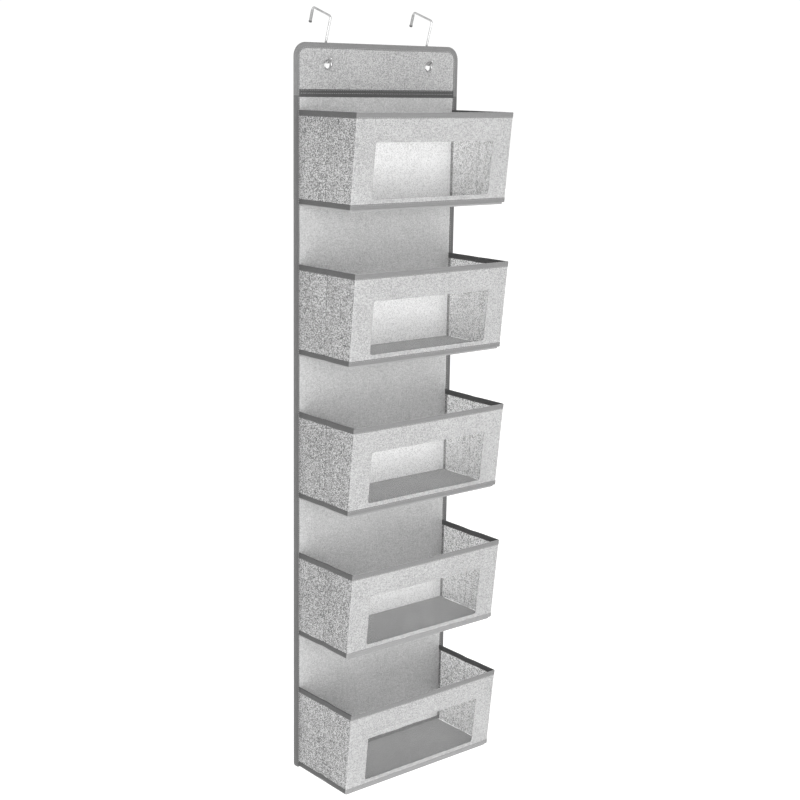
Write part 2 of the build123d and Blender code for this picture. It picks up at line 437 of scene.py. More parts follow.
@dataclass(frozen=True)
class PlatedMetal:
    """Bright plated metal with fine drawing marks and a little dulling."""

    name: str
    dull: Colour
    bright: Colour
    roughness: float = 0.22

    def build(self) -> Material:
        """Make the material.

        Returns:
            The material.
        """
        shader = Shader(self.name)
        plain = shader.mapped("Object", (1.0, 1.0, 1.0))
        marks = shader.noise(shader.mapped("Object", (2600.0, 700.0, 700.0)), 1.0, 2.0, 0.6)
        smudge = shader.noise(plain, 110.0, 3.0, 0.6)
        shader.colour(shader.ramp(smudge, ((0.3, self.dull), (0.65, self.bright))))
        low = self.roughness * 0.7
        spread = shader.math("MULTIPLY", smudge, self.roughness * 0.7)
        shader.rough(shader.math("ADD", spread, low))
        shader.bump(marks, 0.004 * MM)
        shader.set(metallic=1.0)
        return shader.material


@dataclass(frozen=True)
class MouldedPlastic:
    """Dark dipped end cap."""

    name: str
    colour: Colour

    def build(self) -> Material:
        """Make the material.

        Returns:
            The material.
        """
        shader = Shader(self.name)
        pits = shader.noise(shader.mapped("Object", (1.0, 1.0, 1.0)), 900.0, 2.0, 0.6)
        lifted = tuple(min(1.0, c * 1.5 + 0.01) for c in self.colour)
        shader.colour(shader.ramp(pits, ((0.3, self.colour), (0.8, lifted))))
        shader.bump(pits, 0.05 * MM)
        shader.set(roughness=0.5)
        return shader.material


@dataclass(frozen=True)
class BoardStock:
    """Stiffening board inside the cloth."""

    name: str

    def build(self) -> Material:
        """Make the material.

        Returns:
            The material.
        """
        shader = Shader(self.name)
        pulp = shader.noise(shader.mapped("Object", (1.0, 1.0, 1.0)), 260.0, 4.0, 0.65)
        flow = shader.noise(shader.mapped("Object", (40.0, 40.0, 500.0)), 1.0, 2.0, 0.5)
        tone = shader.weighted(((pulp, 0.7), (flow, 0.4)))
        shader.colour(shader.ramp(tone, ((0.25, (0.33, 0.25, 0.17)), (0.75, (0.55, 0.45, 0.33)))))
        shader.bump(pulp, 0.1 * MM)
        shader.set(roughness=0.9)
        return shader.material


@dataclass(frozen=True)
class Thread:
    """Sewing thread with a twist."""

    name: str
    dark: Colour
    light: Colour

    def build(self) -> Material:
        """Make the material.

        Returns:
            The material.
        """
        shader = Shader(self.name)
        twist = shader.wave(shader.mapped("Object", (1600.0, 1600.0, 1600.0)), "DIAGONAL", 0.6, 0.5)
        shader.colour(shader.ramp(twist, ((0.2, self.dark), (0.8, self.light))))
        shader.bump(twist, 0.05 * MM)
        shader.set(roughness=0.7, sheen_weight=0.2)
        return shader.material


def grey(value: float, warm: float = 0.0) -> Colour:
    """A near-neutral grey.

    Args:
        value: Linear brightness.
        warm: How far it leans to red.

    Returns:
        The colour.
    """
    return (value * (1 + warm), value, value * (1 - warm))


class Palette:
    """Every finish on the organizer, built once."""

    def __init__(self) -> None:
        """Build the materials."""
        self.front = HeatherCloth(
            "front_heather", grey(0.21), grey(0.335), grey(0.465), fleck=1.15 * MM, fleck_weight=0.48
        ).build()
        self.gusset = HeatherCloth(
            "gusset_heather",
            grey(0.08),
            grey(0.225),
            grey(0.46),
            fleck=1.3 * MM,
            fleck_weight=0.7,
            grain_weight=0.65,
        ).build()
        # Lighter copy of the gusset cloth for the inner faces of gussets, front walls and hems: painted light
        # inside the pockets, where these faces sit in shade.
        self.gusset_inner = HeatherCloth(
            "inner_heather",
            grey(0.3),
            grey(0.87),
            grey(1.0),
            fleck=1.4 * MM,
            fleck_weight=0.85,
            grain_weight=0.75,
        ).build()
        self.panel = HeatherCloth(
            "panel_heather", grey(0.3), grey(0.42), grey(0.55), fleck=1.2 * MM, fleck_weight=0.42
        ).build()
        self.header = HeatherCloth(
            "header_heather", grey(0.2), grey(0.33), grey(0.48), fleck=1.15 * MM, fleck_weight=0.5
        ).build()
        self.inner = HeatherCloth(
            "inner_lining_cloth",
            grey(0.7),
            grey(0.96),
            grey(1.0),
            fleck=1.5 * MM,
            fleck_weight=0.8,
            grain_weight=0.7,
        ).build()
        self.lining = PlainCloth("rear_lining_cloth", grey(0.3), grey(0.44), thread=0.9 * MM).build()
        self.base = PlainCloth("base_cover_cloth", grey(0.235), grey(0.33)).build()
        # Four copies of one ribbed tape: only the middle one is its own grey; the light copy is painted
        # light, the dark and deep copies are painted shade.
        self.tapes = {
            TapeTone.LIGHT: RibbedTape(TapeTone.LIGHT.value, grey(0.18), grey(0.28)).build(),
            TapeTone.MIDDLE: RibbedTape(TapeTone.MIDDLE.value, grey(0.13), grey(0.21)).build(),
            TapeTone.DARK: RibbedTape(TapeTone.DARK.value, grey(0.085), grey(0.14)).build(),
            TapeTone.DEEP: RibbedTape(TapeTone.DEEP.value, grey(0.045), grey(0.085)).build(),
        }
        self.thread_light = Thread("light_thread", grey(0.26), grey(0.42)).build()
        self.thread_dark = Thread("dark_thread", grey(0.06), grey(0.12)).build()
        self.clear = ClearSheet("clear_window_sheet").build()
        self.nickel = PlatedMetal("bright_eyelet_metal", grey(0.32), grey(0.5), roughness=0.24).build()
        self.wire = PlatedMetal("drawn_hook_wire", grey(0.46), grey(0.62), roughness=0.3).build()
        self.cap = MouldedPlastic("dark_end_cap", grey(0.06)).build()
        self.sleeve = MouldedPlastic("grey_dipped_sleeve", grey(0.2)).build()
        self.board = BoardStock("stiffening_board").build()


# ------------------------------------------------------------------------------------------------
# mesh building
# ------------------------------------------------------------------------------------------------
@dataclass
class MeshDraft:
    """Closed shells gathered into one mesh, with a UV pair at every face corner."""

    points: list[Point] = field(default_factory=list)
    faces: list[tuple[int, ...]] = field(default_factory=list)
    uvs: list[Pair] = field(default_factory=list)
    finishes: dict[int, int] = field(default_factory=dict)

    def tube(
        self,
        rings: np.ndarray,
        along: Sequence[float],
        around: Sequence[float],
        closed: bool = False,
        finish: int | Sequence[int] = 0,
    ) -> None:
        """Add a skin over closed rings.

        Args:
            rings: Ring points, shape (rings, points, 3).
            along: Distance at each ring, with one more at the end where closed.
            around: Distance around a ring at each point, with the full turn last.
            closed: True where the last ring joins the first.
            finish: Which of the piece's finishes it takes, or which at each step around.
        """
        first, before = len(self.points), len(self.faces)
        count, size, _ = rings.shape
        self.points.extend(map(tuple, rings.reshape(-1, 3)))
        for i in range(count if closed else count - 1):
            here, there = first + i * size, first + (i + 1) % count * size
            for j in range(size):
                k = (j + 1) % size
                if not isinstance(finish, int) and finish[j]:
                    self.finishes[len(self.faces)] = finish[j]
                self.faces.append((here + j, here + k, there + k, there + j))
                u, v, low, high = along[i], along[i + 1], around[j], around[j + 1]
                self.uvs.extend(((u, low), (u, high), (v, high), (v, low)))
        if not closed:
            for ring, step in ((0, -1), (count - 1, 1)):
                self.faces.append(tuple(first + ring * size + j for j in range(size))[::step])
                self.uvs.extend([(along[ring], 0.0)] * size)
        if isinstance(finish, int) and finish:
            self.finishes.update({number: finish for number in range(before, len(self.faces))})

    def slab(self, front: np.ndarray, back: np.ndarray, wrapped: bool = False, lined: bool = False) -> None:
        """Add a sheet with two faces and its cut edges.

        Args:
            front: Front face points, shape (rows, columns, 3).
            back: Rear face points, of the same shape.
            wrapped: True where the last row joins the first.
            lined: True where the rear face takes the second finish.
        """
        rows, columns, _ = front.shape
        first = len(self.points)
        behind = first + rows * columns
        self.points.extend(map(tuple, front.reshape(-1, 3)))
        self.points.extend(map(tuple, back.reshape(-1, 3)))
        spans = rows if wrapped else rows - 1

        def corner(base: int, i: int, j: int) -> int:
            """Number of the point at a row and column.

            Args:
                base: Number of the face's first point.
                i: Row, which may run past the last one.
                j: Column.

            Returns:
                The point's number.
            """
            return base + (i % rows) * columns + j

        def rim_quad(a: tuple[int, int], b: tuple[int, int]) -> tuple[int, ...]:
            """A cut edge between the two faces.

            Args:
                a: Row and column where it starts.
                b: Row and column where it ends.

            Returns:
                Its four points.
            """
            return (corner(first, *a), corner(first, *b), corner(behind, *b), corner(behind, *a))

        for i in range(spans):
            for j in range(columns - 1):
                quad = ((i, j), (i, j + 1), (i + 1, j + 1), (i + 1, j))
                self.faces.append(tuple(corner(first, *q) for q in quad))
                if lined:
                    self.finishes[len(self.faces)] = 1
                self.faces.append(tuple(corner(behind, *q) for q in quad[::-1]))
            for j in (0, columns - 1):
                self.faces.append(rim_quad((i, j), (i + 1, j)))
        if not wrapped:
            for i in (0, rows - 1):
                for j in range(columns - 1):
                    self.faces.append(rim_quad((i, j), (i, j + 1)))
        missing = sum(len(f) for f in self.faces) - len(self.uvs)
        self.uvs.extend([(0.0, 0.0)] * missing)

    def build(self, name: str, *finishes: Material, crease: float = 40.0) -> Piece:
        """Make the object, with faces outward.

        Args:
            name: Name of the object.
            finishes: Its finish, and that of its lined face where it has one.
            crease: Edges sharper than this many degrees are shaded sharp.

        Returns:
            The new object.
        """
        mesh = bpy.data.meshes.new(name)
        mesh.from_pydata(self.points, [], self.faces)
        layer = mesh.uv_layers.new(name="UVMap")
        layer.data.foreach_set("uv", np.array(self.uvs, np.float32).ravel())
        work = bmesh.new()
        work.from_mesh(mesh)
        bmesh.ops.recalc_face_normals(work, faces=work.faces)
        work.to_mesh(mesh)
        work.free()
        mesh.polygons.foreach_set("use_smooth", [True] * len(mesh.polygons))
        mesh.set_sharp_from_angle(angle=math.radians(crease))
        for finish in finishes:
            mesh.materials.append(finish)
        for number, index in self.finishes.items():
            mesh.polygons[number].material_index = index
        piece = bpy.data.objects.new(name, mesh)
        bpy.context.scene.collection.objects.link(piece)
        return piece


def section(width: float, thick: float, radius: float, steps: int = 3) -> tuple[np.ndarray, list[float]]:
    """Rounded rectangle cross-section about its middle.

    Args:
        width: Size along the first axis.
        thick: Size along the second axis.
        radius: Corner radius.
        steps: Segments in each corner.

    Returns:
        The points, and the distance around at each with the full turn last.
    """
    points = []
    for number, (sx, sy) in enumerate(((1, 1), (-1, 1), (-1, -1), (1, -1))):
        cx, cy = sx * (width / 2 - radius), sy * (thick / 2 - radius)
        for step in range(steps + 1):
            turn = math.pi / 2 * (number + step / steps)
            points.append((cx + radius * math.cos(turn), cy + radius * math.sin(turn)))
    ring = np.array(points)
    gaps = np.linalg.norm(np.roll(ring, -1, axis=0) - ring, axis=1)
    return ring, [0.0, *np.cumsum(gaps)]


def distances(path: np.ndarray) -> list[float]:
    """Distance along a path at each of its points, with a last step repeated.

    Args:
        path: Points, shape (count, axes).

    Returns:
        The distances.
    """
    gaps = np.linalg.norm(np.diff(path, axis=0), axis=1)
    return [0.0, *np.cumsum(gaps), float(gaps.sum() + gaps[-1])]


def eased(low: float, high: float, count: int, finer: Sequence[float] = ()) -> np.ndarray:
    """Evenly spread stations with extra ones close to both ends.

    Args:
        low: First station.
        high: Last station.
        count: Even stations.
        finer: Distances from each end for the extra stations.

    Returns:
        Sorted stations.
    """
    extra = [low + f for f in finer] + [high - f for f in finer]
    return np.unique(np.round(np.concatenate((np.linspace(low, high, count), extra)), 7))


def ripple(u: np.ndarray, v: np.ndarray, seed: float) -> np.ndarray:
    """Smooth unevenness from -1 to 1, as cloth has over a stiffener.

    Args:
        u: First coordinate, in metres.
        v: Second coordinate, in metres.
        seed: Phase of this piece.

    Returns:
        The unevenness.
    """
    slow = np.sin(u * 31.0 + seed * 1.7) * np.cos(v * 37.0 - seed * 2.3)
    fast = np.sin(u * 73.0 - v * 41.0 + seed * 3.1)
    return 0.65 * slow + 0.35 * fast


def dress(piece: Piece, body: str, nodes: Sequence[str] = ()) -> Piece:
    """Let a piece ride on a body and stand for CAD nodes.

    Args:
        piece: The piece.
        body: CAD body it rides on.
        nodes: CAD nodes it replaces.

    Returns:
        The piece.
    """
    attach(piece, body)
    if nodes:
        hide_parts(*nodes)
    LOG.info("%s rides on %s", piece.name, body)
    return piece


# ------------------------------------------------------------------------------------------------
# stitching
# ------------------------------------------------------------------------------------------------
class RunningStitch:
    """Geometry Nodes group that sews stitches along lines."""

    SETTINGS = {"Pitch": 3.6 * MM, "Length": 2.6 * MM, "Radius": 0.36 * MM, "Jitter": 0.14}
    SEED = 11

    def __init__(self) -> None:
        """Build the node group."""
        self.group = bpy.data.node_groups.new("RunningStitch", "GeometryNodeTree")
        face = self.group.interface
        face.new_socket("Geometry", in_out="INPUT", socket_type="NodeSocketGeometry")
        for name in self.SETTINGS:
            face.new_socket(name, in_out="INPUT", socket_type="NodeSocketFloat")
        face.new_socket("Seed", in_out="INPUT", socket_type="NodeSocketInt")
        face.new_socket("Material", in_out="INPUT", socket_type="NodeSocketMaterial")
        face.new_socket("Geometry", in_out="OUTPUT", socket_type="NodeSocketGeometry")
        self._wire()

    def _wire(self) -> None:
        """Add and join the nodes."""
        nodes, links = self.group.nodes, self.group.links
        source = nodes.new("NodeGroupInput")
        curve = nodes.new("GeometryNodeMeshToCurve")
        places = nodes.new("GeometryNodeCurveToPoints")
        places.mode = "LENGTH"
        turn = nodes.new("FunctionNodeAlignRotationToVector")
        turn.axis = "Z"
        bead = nodes.new("GeometryNodeMeshUVSphere")
        bead.inputs["Segments"].default_value = 6
        bead.inputs["Rings"].default_value = 4
        bead.inputs["Radius"].default_value = 1.0
        half = nodes.new("ShaderNodeMath")
        half.operation = "MULTIPLY"
        half.inputs[1].default_value = 0.5
        size = nodes.new("ShaderNodeCombineXYZ")
        vary = nodes.new("FunctionNodeRandomValue")
        vary.data_type = "FLOAT"
        least = nodes.new("ShaderNodeMath")
        least.operation = "SUBTRACT"
        least.inputs[0].default_value = 1.0
        scaled = nodes.new("ShaderNodeVectorMath")
        scaled.operation = "SCALE"
        spread = nodes.new("GeometryNodeInstanceOnPoints")
        real = nodes.new("GeometryNodeRealizeInstances")
        paint = nodes.new("GeometryNodeSetMaterial")
        target = nodes.new("NodeGroupOutput")
        floats = [s for s in vary.inputs if s.type == "VALUE" and s.enabled]
        for a, b in (
            (source.outputs["Geometry"], curve.inputs["Mesh"]),
            (curve.outputs["Curve"], places.inputs["Curve"]),
            (source.outputs["Pitch"], places.inputs["Length"]),
            (places.outputs["Tangent"], turn.inputs["Vector"]),
            (source.outputs["Length"], half.inputs[0]),
            (source.outputs["Radius"], size.inputs["X"]),
            (source.outputs["Radius"], size.inputs["Y"]),
            (half.outputs[0], size.inputs["Z"]),
            (source.outputs["Jitter"], least.inputs[1]),
            (least.outputs[0], floats[0]),
            (source.outputs["Seed"], vary.inputs["Seed"]),
            (size.outputs["Vector"], scaled.inputs[0]),
            (next(s for s in vary.outputs if s.enabled), scaled.inputs["Scale"]),
            (places.outputs["Points"], spread.inputs["Points"]),
            (bead.outputs["Mesh"], spread.inputs["Instance"]),
            (turn.outputs["Rotation"], spread.inputs["Rotation"]),
            (scaled.outputs["Vector"], spread.inputs["Scale"]),
            (spread.outputs["Instances"], real.inputs["Geometry"]),
            (real.outputs["Geometry"], paint.inputs["Geometry"]),
            (source.outputs["Material"], paint.inputs["Material"]),
            (paint.outputs["Geometry"], target.inputs["Geometry"]),
        ):
            links.new(a, b)
        floats[1].default_value = 1.0

    def sew(
        self,
        name: str,
        rows: Sequence[np.ndarray],
        material: Material,
        body: str,
        radius: float = 0.36 * MM,
    ) -> Piece:
        """Sew rows of stitches as one plain mesh.

        Args:
            name: Name of the piece.
            rows: Lines to follow, each of shape (points, 3).
            material: The thread.
            body: CAD body it rides on.
            radius: Half the thread's thickness.

        Returns:
            The stitches.
        """
        points, edges = [], []
        for row in rows:
            first = len(points)
            points.extend(map(tuple, row))
            edges.extend((first + i, first + i + 1) for i in range(len(row) - 1))
        guide = bpy.data.meshes.new(name + "_guide")
        guide.from_pydata(points, edges, [])
        holder = bpy.data.objects.new(name + "_guide", guide)
        bpy.context.scene.collection.objects.link(holder)
        modifier = holder.modifiers.new("RunningStitch", "NODES")
        modifier.node_group = self.group
        values = {**self.SETTINGS, "Radius": radius, "Seed": self.SEED, "Material": material}
        for item in self.group.interface.items_tree:
            if item.in_out == "INPUT" and item.name in values:
                modifier[item.identifier] = values[item.name]
        holder.update_tag()
        bpy.context.view_layer.update()
        graph = bpy.context.evaluated_depsgraph_get()
        mesh = bpy.data.meshes.new_from_object(holder.evaluated_get(graph))
        mesh.name = name
        holder.modifiers.remove(modifier)
        bpy.data.objects.remove(holder)
        bpy.data.meshes.remove(guide)
        mesh.polygons.foreach_set("use_smooth", [True] * len(mesh.polygons))
        piece = bpy.data.objects.new(name, mesh)
        bpy.context.scene.collection.objects.link(piece)
        return dress(piece, body)


# ------------------------------------------------------------------------------------------------
# back panel and header
# ------------------------------------------------------------------------------------------------
@dataclass(frozen=True)
class PanelLayers:
    """Where the layers of the padded panel lie, front to back, in metres."""

    half_width: float = 170.0 * MM
    tape_front: float = -4.6 * MM
    tape_back: float = -0.02 * MM
    cloth_front: float = -3.8 * MM
    cloth_back: float = -2.9 * MM
    lining_front: float = -0.9 * MM
    lining_back: float = -0.3 * MM
    tape_width: float = 9.5 * MM
    tuck: float = 2.5 * MM

    def wave(self, x: np.ndarray, z: np.ndarray) -> np.ndarray:
        """How far the front cloth lifts off its board.

        Args:
            x: Places across.
            z: Heights.

        Returns:
            Lift toward the front, in metres.
        """
        return 0.22 * MM * (1.0 + ripple(x, z, 4.0))


@dataclass(frozen=True)
class EdgeRun:
    """The outline of one board section: up one side, across, and down the other."""

    half_width: float
    z_open: float
    z_end: float
    radius: float

    def outline(self, inset: float) -> tuple[np.ndarray, np.ndarray]:
        """Outer points and inward directions along the run.

        Args:
            inset: How far inside the outer edge.

        Returns:
            Points and inward unit vectors, as (x, z) rows.
        """
        sign = 1.0 if self.z_end > self.z_open else -1.0
        cx, cz = self.half_width - self.radius, self.z_end - sign * self.radius
        places, inward = [], []
        count = max(3, int(abs(cz - self.z_open) / (18 * MM)))
        for z in np.linspace(self.z_open, cz, count)[:-1]:
            places.append((-self.half_width, z))
            inward.append((1.0, 0.0))
        for turn in np.linspace(0.0, math.pi / 2, 11):
            normal = (-math.cos(turn), sign * math.sin(turn))
            places.append((-cx + self.radius * normal[0], cz + self.radius * normal[1]))
            inward.append((-normal[0], -normal[1]))
        for x in np.linspace(-cx, 0.0, 14)[1:]:
            places.append((x, self.z_end))
            inward.append((0.0, -sign))
        mirrored = [(-x, z) for x, z in places[-2::-1]]
        turned = [(-x, z) for x, z in inward[-2::-1]]
        spots, directions = np.array(places + mirrored), np.array(inward + turned)
        return spots + directions * inset, directions


class BoardSection:
    """One stiffened section of the organizer: cloth, lining and the tape around its edge."""

    STITCH_CLEAR = 8 * MM
    STITCH_START = 4 * MM

    def __init__(self, name: str, body: str, run: EdgeRun, layers: PanelLayers) -> None:
        """Note the section's places.

        Args:
            name: Start of its pieces' names.
            body: CAD body that it is.
            run: Its outline.
            layers: Where its layers lie.
        """
        self.name, self.body, self.run, self.layers = name, body, run, layers

    def grid(self) -> tuple[np.ndarray, np.ndarray]:
        """Places across and up for a cloth tucked under the tape, with the corners rounded.

        Returns:
            The x and z arrays.
        """
        reach = self.layers.half_width - self.layers.tuck
        sign = 1.0 if self.run.z_end > self.run.z_open else -1.0
        end = self.run.z_end - sign * self.layers.tuck
        low, high = sorted((self.run.z_open, end))
        fine = (1 * MM, 2 * MM, 4 * MM, 7 * MM, 11 * MM, 15 * MM)
        across = eased(-reach, reach, 25, fine)
        up = eased(low, high, max(6, int((high - low) / (14 * MM))), fine)
        x, z = np.meshgrid(across, up, indexing="xy")
        radius = self.run.radius - self.layers.tuck
        cx, cz = reach - radius, end - sign * radius
        dx, dz = np.abs(x) - cx, sign * (z - cz)
        far = np.hypot(dx, dz)
        corner = (dx > 0) & (dz > 0) & (np.maximum(dx, dz) > 0)
        shrink = np.where(corner, np.maximum(dx, dz) / np.where(far > 0, far, 1.0), 1.0)
        x = np.where(corner, np.sign(x) * (cx + dx * shrink), x)
        z = np.where(corner, cz + sign * dz * shrink, z)
        return x, z

    def tape(self, material: Material, slot_nodes: Sequence[str]) -> Piece:
        """Edge tape folded over the section's edge.

        Args:
            material: Its finish.
            slot_nodes: CAD nodes it replaces.

        Returns:
            The tape.
        """
        lay = self.layers
        width, thick = lay.tape_width, lay.tape_back - lay.tape_front
        ring, around = section(width, thick, 1.05 * MM)
        spots, inward = self.run.outline(width / 2)
        outer, _ = self.run.outline(0.0)
        middle = (lay.tape_front + lay.tape_back) / 2
        along = distances(outer)
        wander = 0.18 * MM * np.sin(np.array(along[:-1]) * 90.0)
        rings = np.zeros((len(spots), len(ring), 3))
        for i, (spot, turn) in enumerate(zip(spots, inward)):
            shift = ring[:, 0] + np.where(ring[:, 0] > 0, wander[i], 0.0)
            rings[i, :, 0] = spot[0] + turn[0] * shift
            rings[i, :, 2] = spot[1] + turn[1] * shift
            rings[i, :, 1] = middle - ring[:, 1]
        draft = MeshDraft()
        draft.tube(rings, along, around)
        return dress(draft.build(self.name + "_edge_tape", material), self.body, slot_nodes)

    def stitch_rows(self) -> list[np.ndarray]:
        """Rows sewn near the tape's inner edge, on both faces.

        Returns:
            The rows.
        """
        spots, _ = self.run.outline(self.layers.tape_width - 1.7 * MM)
        sign = 1.0 if self.run.z_end > self.run.z_open else -1.0
        spots = spots[(spots[:, 1] - self.run.z_open) * sign > self.STITCH_CLEAR]
        lowest = self.run.z_open + sign * self.STITCH_START
        first = (spots[0] + (0.0, lowest - spots[0][1]))[None, :]
        spots = np.vstack((first, spots, first * (-1, 1)))
        rows = []
        for y in (self.layers.tape_front - 0.05 * MM, self.layers.tape_back + 0.05 * MM):
            rows.append(np.column_stack((spots[:, 0], np.full(len(spots), y), spots[:, 1])))
        return rows


class HeaderSection(BoardSection):
    """The top section, which carries two eyelets, with the tape over the seam below it."""

    EYELET_X = 105.0 * MM
    EYELET_Z = 621.7 * MM
    CLOTH_HOLE = 6.7 * MM
    SEAM_LOW = 571.6 * MM
    SEAM_HIGH = 583.7 * MM
    SEAM_HALF = 161.5 * MM
    SEAM_MIDDLE_Y = -4.25 * MM
    SEAM_FACE_Y = -4.72 * MM
    SEAM_STITCH_HALF = 157.5 * MM
    SEAM_STITCH_LOW = 577.4 * MM
    STITCH_INSET = 1.4 * MM
    BEND_START = (0, 0, 575.3 * MM)
    BEND_END = (0, 0, 573.7 * MM)

    def __init__(self, layers: PanelLayers) -> None:
        """Note the header's places.

        Args:
            layers: Places of the layers through the panel.
        """
        run = EdgeRun(layers.half_width, 574.5 * MM, 655.7 * MM, 22.0 * MM)
        super().__init__("header", "header", run, layers)

    def pierced(self, name: str, front: float, back: float, material: Material) -> Piece:
        """A flat layer with the two eyelet holes through it.

        Args:
            name: Name of the piece.
            front: Place of its front face.
            back: Place of its rear face.
            material: Its finish.

        Returns:
            The layer.
        """
        reach = self.layers.half_width - self.layers.tuck
        low, high = self.run.z_open, self.run.z_end - self.layers.tuck
        radius = self.run.radius - self.layers.tuck
        draft = MeshDraft()
        for side in Side:
            middle = side.value * self.EYELET_X
            inner, outer = sorted((0.0, side.value * reach))
            corners = [math.atan2(z - self.EYELET_Z, x - middle) for x in (inner, outer) for z in (low, high)]
            even = np.linspace(-math.pi, math.pi, 57)[:-1] + 0.02
            turns = np.unique(np.round(np.concatenate((even, corners)), 5))
            rows_front, rows_back = [], []
            for turn in turns:
                way = np.array((math.cos(turn), math.sin(turn)))
                limits = []
                if way[0]:
                    limits.append(((outer if way[0] > 0 else inner) - middle) / way[0])
                if way[1]:
                    limits.append(((high if way[1] > 0 else low) - self.EYELET_Z) / way[1])
                far = min(limits)
                end = np.array((middle, self.EYELET_Z)) + way * far
                dx = abs(end[0]) - (reach - radius)
                dz = end[1] - (high - radius)
                if dx > 0 and dz > 0:
                    pull = max(dx, dz) / math.hypot(dx, dz)
                    across = math.copysign(reach - radius + dx * pull, end[0])
                    end = np.array((across, high - radius + dz * pull))
                start = np.array((middle, self.EYELET_Z)) + way * self.CLOTH_HOLE
                line = start + (end - start) * np.linspace(0, 1, 9)[:, None] ** 1.3
                lift = self.layers.wave(line[:, 0], line[:, 1]) if front < self.layers.cloth_back else 0.0
                easing = np.clip(np.linspace(0, 3, 9), 0, 1)
                rows_front.append(np.column_stack((line[:, 0], front - lift * easing, line[:, 1])))
                rows_back.append(np.column_stack((line[:, 0], np.full(9, back), line[:, 1])))
            draft.slab(np.array(rows_front), np.array(rows_back), wrapped=True)
        return draft.build(name, material)

    def build(self, palette: Palette, stitcher: RunningStitch) -> list[Piece]:
        """Build the header's pieces.

        Args:
            palette: Finishes.
            stitcher: Sews the stitches.

        Returns:
            The pieces.
        """
        lay = self.layers
        cloth = self.pierced("header_front_cloth", lay.cloth_front, lay.cloth_back, palette.header)
        dress(cloth, self.body, ("header_cloth",))
        lining = self.pierced("header_rear_lining", lay.lining_front, lay.lining_back, palette.lining)
        dress(lining, self.body, ("header_lining",))
        tape = self.tape(palette.tapes[TapeTone.MIDDLE], ("header_binding",))
        pieces = [cloth, lining, tape, self.seam(palette)]
        rows = self.stitch_rows()
        xs = np.linspace(-self.SEAM_STITCH_HALF, self.SEAM_STITCH_HALF, 60)
        for z in (self.SEAM_HIGH - self.STITCH_INSET, self.SEAM_STITCH_LOW):
            for y in (self.SEAM_FACE_Y, lay.lining_back + 0.05 * MM):
                rows.append(np.column_stack((xs, np.full(60, y), np.full(60, z))))
        pieces.append(stitcher.sew("header_stitches", rows, palette.thread_light, self.body))
        return pieces

    def seam(self, palette: Palette) -> Piece:
        """Tape over the sewn hinge between header and main section.

        Args:
            palette: Finishes.

        Returns:
            The tape.
        """
        height = self.SEAM_HIGH - self.SEAM_LOW
        ring, _ = section(height, 0.95 * MM, 0.4 * MM)
        extra = np.linspace(-height / 2 + 0.6 * MM, height / 2 - 0.6 * MM, 12)
        upper = [(h, ring[:, 1].max()) for h in extra[::-1]]
        lower = [(h, ring[:, 1].min()) for h in extra]
        steps = 4
        loop = [tuple(p) for p in ring[:steps]] + upper + [tuple(p) for p in ring[steps : 3 * steps]] + lower
        loop = np.array(loop + [tuple(p) for p in ring[3 * steps :]])
        gaps = np.linalg.norm(np.roll(loop, -1, axis=0) - loop, axis=1)
        around = [0.0, *np.cumsum(gaps)]
        xs = np.linspace(-self.SEAM_HALF, self.SEAM_HALF, 33)
        rings = np.zeros((len(xs), len(loop), 3))
        rings[:, :, 0] = xs[:, None]
        rings[:, :, 1] = self.SEAM_MIDDLE_Y - loop[:, 1]
        rings[:, :, 2] = (self.SEAM_HIGH + self.SEAM_LOW) / 2 + loop[:, 0]
        draft = MeshDraft()
        draft.tube(rings, distances(xs[:, None]), around)
        # The seam tape takes the deep tape: painted shade along the hinge between header and main section.
        tape = draft.build("header_seam_tape", palette.tapes[TapeTone.DEEP])
        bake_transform(tape)
        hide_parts("seam_tape")
        return tape


class MainPanel(BoardSection):
    """The long back section that carries the pockets."""

    def __init__(self, layers: PanelLayers) -> None:
        """Note the panel's places.

        Args:
            layers: Places of the layers through the panel.
        """
        run = EdgeRun(layers.half_width, 574.4 * MM, -574.3 * MM, 10.0 * MM)
        super().__init__("back", "main_panel", run, layers)

    def build(self, palette: Palette, stitcher: RunningStitch) -> list[Piece]:
        """Build the panel's pieces.

        Args:
            palette: Finishes.
            stitcher: Sews the stitches.

        Returns:
            The pieces.
        """
        lay = self.layers
        x, z = self.grid()
        edge = np.clip((lay.half_width - 11 * MM - np.abs(x)) / (12 * MM), 0, 1)
        lift = lay.wave(x, z) * edge
        draft = MeshDraft()
        draft.slab(
            np.stack((x, lay.cloth_front - lift, z), axis=-1),
            np.stack((x, np.full_like(x, lay.cloth_back), z), axis=-1),
        )
        cloth = draft.build("back_front_cloth", palette.panel)
        dress(cloth, self.body, ("back_cloth",))
        draft = MeshDraft()
        draft.slab(
            np.stack((x, np.full_like(x, lay.lining_front), z), axis=-1),
            np.stack((x, lay.lining_back - 0.4 * lift, z), axis=-1),
        )
        lining = draft.build("back_rear_lining", palette.lining)
        dress(lining, self.body, ("back_lining",))
        # The back binding takes the dark tape: painted shade, a darker copy of the tape on the header.
        tape = self.tape(palette.tapes[TapeTone.DARK], ("back_binding",))
        stitches = stitcher.sew("back_stitches", self.stitch_rows(), palette.thread_light, self.body)
        return [cloth, lining, tape, stitches]


